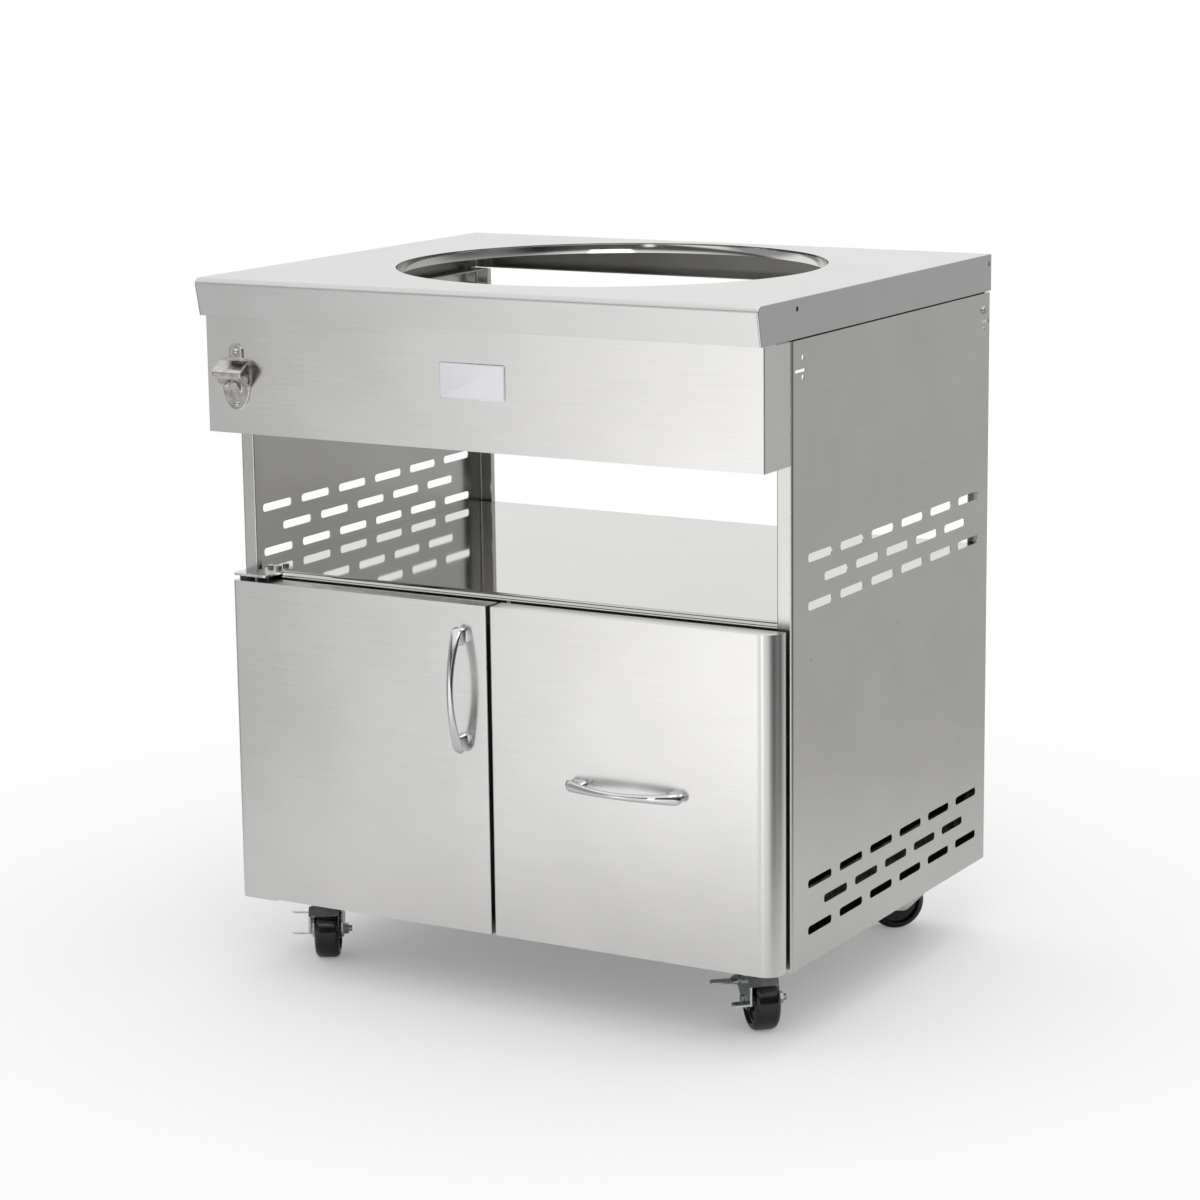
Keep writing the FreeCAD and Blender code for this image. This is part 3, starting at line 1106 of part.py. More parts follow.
def slide_bracket():
    """An angle on the cabinet floor that carries the right-hand slide."""
    line = [(BRACKET_X + BRACKET_SHEET, SLIDE_BOTTOM + SLIDE_HEIGHT), (BRACKET_X + BRACKET_SHEET, FLOOR_TOP),
            (BRACKET_X + BRACKET_SHEET + BRACKET_FOOT, FLOOR_TOP)]
    front = BODY_FRONT + FRONT_LIP + BRACKET_INSET
    shift = [(x - BRACKET_SHEET, z) for x, z in line]
    return bent_sheet(shift, BRACKET_SHEET, TIGHT_BEND, on_side_section(front), Y_AXIS * (SLIDE_REAR - front))


# Caster geometry is built about the swivel axis, with the wheel trailing towards -Y.
# Each caster is then turned to its heading and carried to its place.
CASTERS = {
    "front_left": (LEFT_CASTER_X, FRONT_CASTER_Y, 30.0),
    "front_right": (RIGHT_CASTER_X, FRONT_CASTER_Y, 43.0),
    "rear_left": (LEFT_CASTER_X, REAR_CASTER_Y, 18.0),
    "rear_right": (RIGHT_CASTER_X, REAR_CASTER_Y, -48.0),
}


def placed(shape, name):
    x, y, heading = CASTERS[name]
    copy = shape.copy()
    copy.rotate(V(0, 0, 0), Z_AXIS, heading)
    copy.translate(V(x, y, 0))
    return copy


def square_corners(size):
    return [(sx * size / 2, sy * size / 2) for sx in (-1, 1) for sy in (-1, 1)]


def caster_bolt_places():
    return [(x + dx, y + dy) for x, y, heading in CASTERS.values()
            for dx, dy in square_corners(CASTER_BOLT_SPACING)]


def caster_plate(x, y):
    """A square mounting plate with the fixed half of the ball race pressed into it."""
    half = CASTER_PLATE / 2
    low = CASTER_TOP - CASTER_PLATE_SHEET
    plate = outline([(x - half, y - half), (x + half, y - half), (x + half, y + half), (x - half, y + half)],
                    HINGE_CORNER, on_plan(low), Z_AXIS * CASTER_PLATE_SHEET)
    race_low = (low + CROWN_TOP) / 2 + RACE_GAP / 2
    race = rod(V(x, y, race_low), Z_AXIS, RACE_RADIUS, low - race_low)
    edges = [edge for edge in race.Edges if abs(edge.BoundBox.ZMax - race_low) < 1e-3]
    race = race.makeFillet((low - race_low) / 3, edges)
    cutters = [rod(V(x, y, race_low - 1), Z_AXIS, KINGPIN_RADIUS, CASTER_TOP - race_low + 2)]
    for dx, dy in square_corners(CASTER_BOLT_SPACING):
        cutters.append(rod(V(x + dx, y + dy, low - 1), Z_AXIS, CASTER_BOLT_RADIUS, CASTER_PLATE_SHEET + 2))
    return without(joined([plate, race]), cutters)


def caster_kingpin(x, y):
    low = CROWN_BOTTOM - WASHER_GAP
    return joined([rod(V(x, y, low), Z_AXIS, KINGPIN_RADIUS, CASTER_TOP - low),
                   rod(V(x, y, low - KINGPIN_HEAD_HEIGHT), Z_AXIS, KINGPIN_HEAD, KINGPIN_HEAD_HEIGHT)])


def caster_bolts():
    solids = []
    for x, y in caster_bolt_places():
        under = CASTER_TOP - CASTER_PLATE_SHEET
        bolt = joined([hexagon(V(x, y, under), Z_AXIS * -1, CASTER_BOLT_FLATS, CASTER_BOLT_HEAD),
                       rod(V(x, y, under), Z_AXIS, CASTER_BOLT_RADIUS - KINGPIN_CLEARANCE,
                           FLOOR_TOP - under + CASTER_BOLT_HEAD)])
        nut = hexagon(V(x, y, FLOOR_TOP), Z_AXIS, CASTER_BOLT_FLATS, CASTER_BOLT_HEAD)
        solids += [bolt, nut.cut(rod(V(x, y, FLOOR_TOP), Z_AXIS, CASTER_BOLT_RADIUS, CASTER_BOLT_HEAD))]
    return solids


def fork():
    """The swivelling fork: a crown folded into two raked legs, and the moving half of the race."""
    low, top = CROWN_BOTTOM, CROWN_TOP
    line = [(-FORK_OUTER, AXLE_Z - FORK_EYE_RADIUS), (-FORK_OUTER, top),
            (FORK_OUTER, top), (FORK_OUTER, AXLE_Z - FORK_EYE_RADIUS)]
    line.reverse()
    front = -CASTER_TRAIL - FORK_EYE_RADIUS
    stirrup = bent_sheet(line, FORK_SHEET, FORK_BEND, on_side_section(front), Y_AXIS * (RACE_RADIUS - front))
    leg = outline(
        [(-CASTER_TRAIL - FORK_EYE_RADIUS, AXLE_Z - FORK_EYE_RADIUS),
         (-CASTER_TRAIL + FORK_EYE_RADIUS, AXLE_Z - FORK_EYE_RADIUS),
         (RACE_RADIUS, AXLE_Z + FORK_LEG_RISE), (RACE_RADIUS, top + 1),
         (-CASTER_TRAIL, top + 1), (-CASTER_TRAIL - FORK_EYE_RADIUS, AXLE_Z + FORK_EYE_RADIUS)],
        [FORK_EYE_RADIUS * 0.95, FORK_EYE_RADIUS * 0.95, FORK_CORNER, 0, 0, FORK_CORNER],
        on_side(-FORK_OUTER - 1), X_AXIS * (2 * FORK_OUTER + 2))
    race_top = (CASTER_TOP - CASTER_PLATE_SHEET + top) / 2 - RACE_GAP / 2
    race = rod(V(0, 0, top), Z_AXIS, RACE_RADIUS - FORK_SHEET, race_top - top)
    edges = [edge for edge in race.Edges if abs(edge.BoundBox.ZMin - race_top) < 1e-3]
    race = race.makeFillet((race_top - top) / 3, edges)
    body = joined([stirrup.common(leg), race])
    eye = rod(V(-FORK_OUTER - 1, -CASTER_TRAIL, AXLE_Z), X_AXIS, AXLE_RADIUS, 2 * FORK_OUTER + 2)
    pin_bore = rod(V(0, 0, low - 1), Z_AXIS, KINGPIN_RADIUS + KINGPIN_CLEARANCE, race_top - low + 2)
    return without(body, [eye, pin_bore])


def brake_pivot():
    """The rivet in the left fork leg that the brake lever rocks on."""
    reach = FORK_SHEET + BRAKE_GAP + BRAKE_SHEET
    return joined([
        rod(V(-FORK_INNER, BRAKE_PIVOT_Y, BRAKE_PIVOT_Z), X_AXIS * -1, BRAKE_PIVOT_RADIUS, reach),
        rod(V(-FORK_INNER - reach - BRAKE_GAP, BRAKE_PIVOT_Y, BRAKE_PIVOT_Z), X_AXIS * -1,
            BRAKE_PIVOT_RADIUS * 1.8, BRAKE_PIVOT_RADIUS / 2),
        rod(V(-FORK_INNER - reach, BRAKE_PIVOT_Y, BRAKE_PIVOT_Z), X_AXIS * -1, BRAKE_PIVOT_RADIUS, BRAKE_GAP)])


def braked_fork():
    hole = rod(V(-FORK_OUTER - 1, BRAKE_PIVOT_Y, BRAKE_PIVOT_Z), X_AXIS, BRAKE_PIVOT_RADIUS, FORK_SHEET + 1)
    return [fork().cut(hole), brake_pivot()]


def wheel():
    """A moulded wheel: crowned tread, dished sides and a through hub."""
    half = WHEEL_WIDTH / 2
    hub_half = FORK_INNER - HUB_END_GAP
    bore = SLEEVE_RADIUS + SLEEVE_CLEARANCE
    rim = WHEEL_RADIUS - WHEEL_RIM_WALL
    web = half - WHEEL_RECESS
    corner = WHEEL_CORNER
    side = [(hub_half, bore), (hub_half, WHEEL_HUB_RADIUS), (web, WHEEL_HUB_RADIUS + WHEEL_HUB_DRAFT),
            (web, rim - WHEEL_RIM_DRAFT), (half, rim), (half, WHEEL_RADIUS)]
    radii = [0, corner / 2, corner, 1.5 * corner, corner * 0.6, WHEEL_SHOULDER]
    other = [(-x, r) for x, r in side[::-1]]
    points = side + other
    all_radii = radii + radii[::-1]
    place = lambda u, v: V(u, -CASTER_TRAIL, AXLE_Z + v)
    edges = rounded(points, all_radii, place)
    edges.append(Part.LineSegment(place(*points[-1]), place(*points[0])).toShape())
    return Part.Face(Part.Wire(edges)).revolve(V(0, -CASTER_TRAIL, AXLE_Z), X_AXIS, 360)


def axle_set():
    """Axle bolt with its head on the left, its sleeve through the wheel, and a lock nut."""
    place = V(0, -CASTER_TRAIL, AXLE_Z)
    head = hexagon(place - X_AXIS * FORK_OUTER, X_AXIS * -1, AXLE_FLATS, AXLE_HEAD)
    shank = rod(place - X_AXIS * FORK_OUTER, X_AXIS, AXLE_RADIUS, 2 * FORK_OUTER + AXLE_NUT + AXLE_END)
    sleeve = ring(place - X_AXIS * FORK_INNER, X_AXIS, SLEEVE_RADIUS, AXLE_RADIUS, 2 * FORK_INNER)
    nut = hexagon(place + X_AXIS * FORK_OUTER, X_AXIS, AXLE_FLATS, AXLE_NUT)
    nut = nut.cut(rod(place + X_AXIS * FORK_OUTER, X_AXIS, AXLE_RADIUS, AXLE_NUT))
    return [joined([head, shank]), sleeve, nut]


def brake_lever():
    """A rocking side lever: a shoe over the tread and two foot tabs turned outward."""
    inner = -FORK_OUTER - BRAKE_GAP
    angle = math.radians(SHOE_ANGLE)
    shoe_gap = WHEEL_RADIUS + BRAKE_GAP
    shoe_y = -CASTER_TRAIL + shoe_gap * math.cos(angle)
    shoe_z = AXLE_Z + shoe_gap * math.sin(angle)
    shoe = box(inner - BRAKE_SHEET, inner - BRAKE_SHEET + SHOE_LENGTH + BRAKE_SHEET,
               -SHOE_WIDTH / 2, SHOE_WIDTH / 2, 0, BRAKE_SHEET)
    free = [edge for edge in shoe.Edges if edge.BoundBox.ZLength > BRAKE_SHEET / 2
            and edge.BoundBox.XMin > inner + 1]
    shoe = shoe.makeFillet(SHOE_WIDTH / 3, free)
    shoe.rotate(V(0, 0, 0), X_AXIS, SHOE_ANGLE - 90)
    shoe.translate(V(0, shoe_y, shoe_z))
    crest = (shoe_y + BRAKE_SHEET * math.cos(angle), shoe_z + BRAKE_SHEET * math.sin(angle))
    side_y = SHOE_WIDTH / 2 * math.sin(angle)
    side_z = SHOE_WIDTH / 2 * math.cos(angle)
    front, front_z, rear, rear_z = PEDAL_FRONT_Y, PEDAL_FRONT_Z, PEDAL_REAR_Y, PEDAL_REAR_Z
    arm, corner = BRAKE_ARM, BRAKE_CORNER
    plate = outline(
        [(crest[0] - side_y, crest[1] + side_z),
         (rear - arm, rear_z + corner / 2), (rear - arm, rear_z - corner),
         (rear + arm, rear_z - corner), (BRAKE_PIVOT_Y - 2.2 * arm, BRAKE_PIVOT_Z - arm),
         (BRAKE_PIVOT_Y, BRAKE_PIVOT_Z - arm), (front - arm, front_z - corner), (front + arm, front_z - corner),
         (front + arm, front_z + 1.5 * corner), (BRAKE_PIVOT_Y + arm / 2, BRAKE_PIVOT_Z + arm),
         (crest[0] + side_y, crest[1] - side_z)],
        [corner * share for share in (0.75, 1, 1, 1.5, 3, 3, 1.5, 1, 1, 3, 0.75)],
        on_side(inner - BRAKE_SHEET), X_AXIS * BRAKE_SHEET)
    tabs = []
    for y, z, reach in ((front, front_z, PEDAL_FRONT_LENGTH), (rear, rear_z, PEDAL_LENGTH)):
        tab = box(inner - BRAKE_SHEET - reach, inner, y - PEDAL_WIDTH / 2, y + PEDAL_WIDTH / 2,
                  z - BRAKE_SHEET / 2, z + BRAKE_SHEET / 2)
        ends = [edge for edge in tab.Edges if edge.BoundBox.ZLength > BRAKE_SHEET / 2
                and edge.BoundBox.XMax < inner - BRAKE_SHEET]
        tabs.append(tab.makeFillet(PEDAL_WIDTH * 0.42, ends))
    body = joined([plate, shoe] + tabs)
    bore = rod(V(inner + 1, BRAKE_PIVOT_Y, BRAKE_PIVOT_Z), X_AXIS * -1,
               BRAKE_PIVOT_RADIUS + PIVOT_CLEARANCE, BRAKE_SHEET + 2)
    return body.cut(bore)


def build_all():
    os.makedirs("parts", exist_ok=True)
    save("table_top", table_top())
    save("opening_trim_ring", opening_trim_ring())
    side_rail, front_rail, rear_rail = top_rails()
    save("top_rail_right", side_rail)
    save("top_rail_left", mirrored(side_rail))
    save("top_rail_front", front_rail)
    save("top_rail_rear", rear_rail)
    save("top_bolts", *top_bolts())
    panel = side_panel()
    save("right_side_panel", panel)
    save("left_side_panel", mirrored(panel))
    save("accessory_screws", *accessory_screws())
    save("kamado_shelf", kamado_shelf())
    save("shelf_rivets", *shelf_rivets())
    save("cabinet_back_panel", cabinet_back_panel())
    save("cabinet_floor", cabinet_floor())
    save("centre_divider", centre_divider())
    save("front_valance", front_valance())
    save("badge_plate", badge_plate())
    save("bottle_opener", bottle_opener())
    save("opener_screws", *opener_screws())
    save("hinge_plate_top", hinge_plate(TOP_PLATE_BOTTOM))
    save("hinge_plate_bottom", hinge_plate(LOW_PLATE_BOTTOM))
    save("hinge_pins", *hinge_pins())
    save("hinge_bolts", *hinge_bolts())
    catch, strike = catch_parts()
    save("magnet_catch", catch)
    save("slide_bracket", slide_bracket())

    save("door_skin", door_skin())
    save("door_liner", door_liner())
    save("door_bushes", *door_bushes())
    save("door_handle", bow_handle(DOOR_HANDLE_X, DOOR_HANDLE_Z, Z_AXIS))
    save("door_handle_screws", *handle_screws(DOOR_HANDLE_X, DOOR_HANDLE_Z, Z_AXIS))
    save("door_strike_plate", strike)

    save("drawer_skin", drawer_skin())
    save("drawer_liner", drawer_liner())
    save("drawer_tray", tray())
    save("drawer_gussets", *gussets())
    save("drawer_handle", bow_handle(DRAWER_HANDLE_X, DRAWER_HANDLE_Z, X_AXIS))
    save("drawer_handle_screws", *handle_screws(DRAWER_HANDLE_X, DRAWER_HANDLE_Z, X_AXIS))
    for side, x, way in (("left", SLIDE_LEFT_X, 1), ("right", SLIDE_RIGHT_X, -1)):
        for member, solid in zip(("outer", "middle", "inner"), slide(x, way)):
            save("slide_" + member + "_" + side, solid)

    places = [(x, y) for x, y, heading in CASTERS.values()]
    save("caster_plates", *[caster_plate(x, y) for x, y in places])
    save("caster_kingpins", *[caster_kingpin(x, y) for x, y in places])
    save("caster_plate_bolts", *caster_bolts())
    for name in CASTERS:
        braked = name.startswith("front")
        forks = braked_fork() if braked else [fork()]
        save("fork_" + name, *[placed(solid, name) for solid in forks])
        save("wheel_" + name, placed(wheel(), name))
        save("axle_" + name, *[placed(solid, name) for solid in axle_set()])
        if braked:
            save("brake_" + name, placed(brake_lever(), name))


build_all()
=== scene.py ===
import math
import bmesh
import bpy
from mathutils import Matrix, Vector


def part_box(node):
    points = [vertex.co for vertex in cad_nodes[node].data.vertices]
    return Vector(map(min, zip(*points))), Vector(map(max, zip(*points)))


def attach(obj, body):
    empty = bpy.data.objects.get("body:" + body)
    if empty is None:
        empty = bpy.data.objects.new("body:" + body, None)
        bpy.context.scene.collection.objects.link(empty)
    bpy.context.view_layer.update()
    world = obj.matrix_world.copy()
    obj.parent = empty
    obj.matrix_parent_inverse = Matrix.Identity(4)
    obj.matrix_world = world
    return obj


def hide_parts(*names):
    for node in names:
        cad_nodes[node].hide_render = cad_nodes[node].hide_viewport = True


# Kamado grill table: folded stainless steel on four casters.
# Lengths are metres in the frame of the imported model; MM turns millimetres into them.

MM = 0.001
X_AXIS = Vector((1, 0, 0))
Y_AXIS = Vector((0, 1, 0))
Z_AXIS = Vector((0, 0, 1))
WELD = 0.01 * MM
WHITE = (1, 1, 1, 1)

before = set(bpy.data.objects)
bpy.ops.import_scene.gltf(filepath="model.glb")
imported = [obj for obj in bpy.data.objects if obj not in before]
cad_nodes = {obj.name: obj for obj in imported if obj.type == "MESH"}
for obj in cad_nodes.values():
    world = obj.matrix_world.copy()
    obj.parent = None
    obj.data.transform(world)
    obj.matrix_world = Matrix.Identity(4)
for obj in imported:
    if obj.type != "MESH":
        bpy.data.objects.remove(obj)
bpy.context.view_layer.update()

# Camera fitted to the photograph
CAMERA_TARGET = Vector((-7.27, 0.0, 469.68)) * MM
CAMERA_DISTANCE = 4303.59 * MM
CAMERA_PITCH = math.radians(11.477)
CAMERA_YAW = math.radians(29.914)
CAMERA_ROLL = math.radians(-0.683)
CAMERA_LENS = 100.43
CAMERA_SENSOR = 36
CAMERA_CLIP = (0.1, 100)


def place_camera():
    """Stands the camera where the photograph was taken from."""
    level = math.cos(CAMERA_PITCH)
    back = Vector((math.sin(CAMERA_YAW) * level, -math.cos(CAMERA_YAW) * level,
                   math.sin(CAMERA_PITCH)))
    right = (-back).cross(Z_AXIS).normalized()
    up = right.cross(-back)
    tilted_right = right * math.cos(CAMERA_ROLL) + up * math.sin(CAMERA_ROLL)
    tilted_up = up * math.cos(CAMERA_ROLL) - right * math.sin(CAMERA_ROLL)
    matrix = Matrix((tilted_right, tilted_up, back)).transposed().to_4x4()
    matrix.translation = CAMERA_TARGET + back * CAMERA_DISTANCE
    data = bpy.data.cameras.new("photograph_camera")
    data.lens = CAMERA_LENS
    data.sensor_width = CAMERA_SENSOR
    data.clip_start, data.clip_end = CAMERA_CLIP
    camera = bpy.data.objects.new("photograph_camera", data)
    bpy.context.scene.collection.objects.link(camera)
    camera.matrix_world = matrix
    bpy.context.scene.camera = camera


# Materials

def linear(colour):
    """An sRGB hex colour as linear RGBA."""
    parts = [int(colour[k:k + 2], 16) / 255 for k in (0, 2, 4)]
    return tuple(c / 12.92 if c <= 0.04045 else ((c + 0.055) / 1.055) ** 2.4
                 for c in parts) + (1.0,)


def add(tree, kind, values=None, links=None, **settings):
    """Adds a node with its settings, its input values and the sockets that feed it."""
    made = tree.nodes.new("ShaderNode" + kind)
    for name, value in settings.items():
        setattr(made, name, value)
    for socket, value in (values or {}).items():
        made.inputs[socket].default_value = value
    for socket, source in (links or {}).items():
        tree.links.new(source, made.inputs[socket])
    return made


def new_material(name):
    """An empty node material, and the Object coordinates that its patterns read."""
    material = bpy.data.materials.new(name)
    material.use_nodes = True
    tree = material.node_tree
    tree.nodes.clear()
    return material, tree, add(tree, "TexCoord").outputs["Object"]


# Nearly all of a noise lies between these values, so they are spread over a pattern's whole range.
NOISE_LOW, NOISE_HIGH = 0.35, 0.65
# Each pair named ..._ROUGHNESS holds shares of a finish's own roughness: where its pattern is
# darkest, and where it is lightest.

# Real belt scratches are about 0.1 mm wide. They are drawn coarser, so that the faint lines show.
SCRATCH_LENGTH = 90 * MM
SCRATCH_WIDTH = 1.2 * MM
SCRATCH_DEPTH = 0.02 * MM
SCRATCH_ROUGHNESS = (0.94, 1.06)
HANDLING_SIZE = 140 * MM
HANDLING_TONE = 0.2


def brushed_steel(name, dark, light, grain, across, roughness, anisotropy):
    """304 stainless sheet, linished on a belt: fine parallel scratches blur what it mirrors
    across the grain and leave it sharper along it, and handling leaves wide soft clouds."""
    material, tree, place = new_material(name)
    sizes = [SCRATCH_LENGTH if axis == grain else SCRATCH_WIDTH for axis in "XYZ"]
    run = add(tree, "Mapping", {"Scale": [1 / size for size in sizes]}, {"Vector": place})
    scratches = add(tree, "TexNoise", {"Scale": 1.0, "Detail": 4.0, "Roughness": 0.6},
                    {"Vector": run.outputs[0]})
    cloud = add(tree, "TexNoise", {"Scale": 1 / HANDLING_SIZE, "Detail": 2.0}, {"Vector": place})
    handled = add(tree, "MapRange", {"From Min": NOISE_LOW, "From Max": NOISE_HIGH,
                                     "To Min": -HANDLING_TONE, "To Max": HANDLING_TONE},
                  {"Value": cloud.outputs["Fac"]})
    tone = add(tree, "Math", links={0: scratches.outputs["Fac"], 1: handled.outputs[0]},
               operation="ADD")
    colour = add(tree, "Mix", {6: linear(dark), 7: linear(light)}, {0: tone.outputs[0]},
                 data_type="RGBA")
    rough = add(tree, "MapRange", {"To Min": roughness * SCRATCH_ROUGHNESS[0],
                                   "To Max": roughness * SCRATCH_ROUGHNESS[1]},
                {"Value": tone.outputs[0]})
    bump = add(tree, "Bump", {"Strength": 0.02, "Distance": SCRATCH_DEPTH},
               {"Height": scratches.outputs["Fac"]})
    tangent = add(tree, "CombineXYZ", {"X": across.x, "Y": across.y, "Z": across.z})
    shader = add(tree, "BsdfPrincipled", {"Metallic": 1.0, "Anisotropic": anisotropy},
                 {"Base Color": colour.outputs[2], "Roughness": rough.outputs[0],
                  "Normal": bump.outputs[0], "Tangent": tangent.outputs[0]})
    add(tree, "OutputMaterial", links={"Surface": shader.outputs[0]})
    return material


HAZE_ROUGHNESS = (0.75, 1.35)


def bright_metal(name, dark, light, roughness, haze_size):
    """Polished or plated metal: it mirrors sharply, with a faint haze from handling."""
    material, tree, place = new_material(name)
    haze = add(tree, "TexNoise", {"Scale": 1 / haze_size, "Detail": 4.0}, {"Vector": place})
    tone = add(tree, "MapRange", {"From Min": NOISE_LOW, "From Max": NOISE_HIGH},
               {"Value": haze.outputs["Fac"]})
    colour = add(tree, "Mix", {6: linear(dark), 7: linear(light)}, {0: tone.outputs[0]},
                 data_type="RGBA")
    rough = add(tree, "MapRange", {"To Min": roughness * HAZE_ROUGHNESS[0],
                                   "To Max": roughness * HAZE_ROUGHNESS[1]},
                {"Value": tone.outputs[0]})
    shader = add(tree, "BsdfPrincipled", {"Metallic": 1.0},
                 {"Base Color": colour.outputs[2], "Roughness": rough.outputs[0]})
    add(tree, "OutputMaterial", links={"Surface": shader.outputs[0]})
    return material


BLOOM_SIZE = 6 * MM
BLOOM_ROUGHNESS = (0.8, 1.3)
# The plate's real grit is under 0.3 mm. It is drawn coarser, as a slight unevenness in the shine.
PLATE_GRIT_SIZE = 1.2 * MM
PLATE_GRIT_DEPTH = 0.02 * MM


def plated_steel(name, dark, light, roughness):
    """Zinc or nickel plate over pressed steel: small cloudy blooms and a soft shine."""
    material, tree, place = new_material(name)
    bloom = add(tree, "TexNoise", {"Scale": 1 / BLOOM_SIZE, "Detail": 4.0}, {"Vector": place})
    grit = add(tree, "TexNoise", {"Scale": 1 / PLATE_GRIT_SIZE, "Detail": 2.0}, {"Vector": place})
    tone = add(tree, "MapRange", {"From Min": NOISE_LOW, "From Max": NOISE_HIGH},
               {"Value": bloom.outputs["Fac"]})
    colour = add(tree, "Mix", {6: linear(dark), 7: linear(light)}, {0: tone.outputs[0]},
                 data_type="RGBA")
    rough = add(tree, "MapRange", {"To Min": roughness * BLOOM_ROUGHNESS[0],
                                   "To Max": roughness * BLOOM_ROUGHNESS[1]},
                {"Value": tone.outputs[0]})
    bump = add(tree, "Bump", {"Strength": 0.05, "Distance": PLATE_GRIT_DEPTH},
               {"Height": grit.outputs["Fac"]})
    shader = add(tree, "BsdfPrincipled", {"Metallic": 1.0},
                 {"Base Color": colour.outputs[2], "Roughness": rough.outputs[0],
                  "Normal": bump.outputs[0]})
    add(tree, "OutputMaterial", links={"Surface": shader.outputs[0]})
    return material


SCUFF_SIZE = 9 * MM
SCUFF_RANGE = (0.4, 0.7)
SCUFF_ROUGHNESS = (0.8, 1.5)
ORANGE_PEEL_SIZE = 1.5 * MM
ORANGE_PEEL_DEPTH = 0.05 * MM
POLYMER_IOR = 1.5
COAT_ROUGHNESS = 0.05


def polymer(name, dark, light, roughness, coat):
    """A moulded or sprayed polymer: an even body colour, a fine orange-peel skin and scuffs that
    dull it."""
    material, tree, place = new_material(name)
    skin = add(tree, "TexNoise", {"Scale": 1 / ORANGE_PEEL_SIZE, "Detail": 2.0}, {"Vector": place})
    scuff = add(tree, "TexNoise", {"Scale": 1 / SCUFF_SIZE, "Detail": 5.0}, {"Vector": place})
    tone = add(tree, "MapRange", {"From Min": SCUFF_RANGE[0], "From Max": SCUFF_RANGE[1]},
               {"Value": scuff.outputs["Fac"]})
    colour = add(tree, "Mix", {6: linear(dark), 7: linear(light)}, {0: tone.outputs[0]},
                 data_type="RGBA")
    rough = add(tree, "MapRange", {"To Min": roughness * SCUFF_ROUGHNESS[0],
                                   "To Max": roughness * SCUFF_ROUGHNESS[1]},
                {"Value": tone.outputs[0]})
    bump = add(tree, "Bump", {"Strength": 0.08, "Distance": ORANGE_PEEL_DEPTH},
               {"Height": skin.outputs["Fac"]})
    shader = add(tree, "BsdfPrincipled",
                 {"IOR": POLYMER_IOR, "Coat Weight": coat, "Coat Roughness": COAT_ROUGHNESS},
                 {"Base Color": colour.outputs[2], "Roughness": rough.outputs[0],
                  "Normal": bump.outputs[0]})
    add(tree, "OutputMaterial", links={"Surface": shader.outputs[0]})
    return material


# Brushed sheets of one steel: the top soft and even; the fronts painted brightest, as lit, and the
# sides painted a little greyer, as shaded
top_steel = brushed_steel("satin_stainless_top", "CFCFCE", "DADAD9", "X", Y_AXIS, 0.29, 0.55)
lit_front_steel = brushed_steel("brushed_stainless_front", "DAD9D7", "E6E5E3", "X", Z_AXIS, 0.22, 0.6)
shaded_side_steel = brushed_steel("brushed_stainless_side", "C8C7C3", "D5D4D0", "Y", Z_AXIS, 0.22, 0.5)
# Bright annealed sheet is left as the mill rolled it: the shelf mirrors the slots and the room
shelf_steel = brushed_steel("bright_annealed_shelf", "C5C4C0", "CBCAC6", "X", Y_AXIS, 0.04, 0.2)
# Plain mill finish inside the cupboard and the drawer: duller, and a darker grey that is painted
# shade for the closed insides
shaded_inner_steel = brushed_steel("mill_finish_inner_sheet_painted_shade", "989792", "A4A39E", "Y", Z_AXIS, 0.3, 0.3)
# Buffed after welding: bright and dark bands run round the opening
ring_steel = bright_metal("polished_ring_steel", "D6D5D2", "DEDDDA", 0.1, 60 * MM)
# Chrome plate: hard-edged reflections on the handles, softer and warmer on the rougher casting
chrome = bright_metal("bright_chrome_plate", "DADBDD", "E4E5E7", 0.05, 40 * MM)
opener_chrome = bright_metal("satin_chrome_casting", "BDBAB6", "D2CFCB", 0.16, 8 * MM)
badge_chrome = bright_metal("polished_badge_backing", "C4C5C8", "D6D7DA", 0.1, 20 * MM)
# Plated pressings and fasteners: bluish zinc, a duller one on the slides, warm nickel on the screws
zinc = plated_steel("bright_zinc_plate", "C2C8CA", "DDE1E2", 0.2)
slide_zinc = plated_steel("clear_zinc_slide", "B4B8BA", "CBCECF", 0.3)
fastener_steel = plated_steel("nickel_plated_fastener", "B3B2AE", "CFCECA", 0.2)
# Polymers: wheels glossy from the mould, bushes half matt, the bracket matt, the resin clear
wheel_black = polymer("glossy_black_wheel_polyurethane", "050608", "0A0B0D", 0.16, 0.35)
bush_black = polymer("black_acetal_bush", "15161A", "1E2024", 0.4, 0.0)
# The slide bracket is painted black: painted shade, seen through the lower slots in the side panel
shade_black_bracket = polymer("black_painted_shade_coat", "101114", "17181B", 0.5, 0.0)
badge_resin = polymer("silver_badge_under_clear_resin", "DADADE", "DCDCE0", 0.12, 1.0)

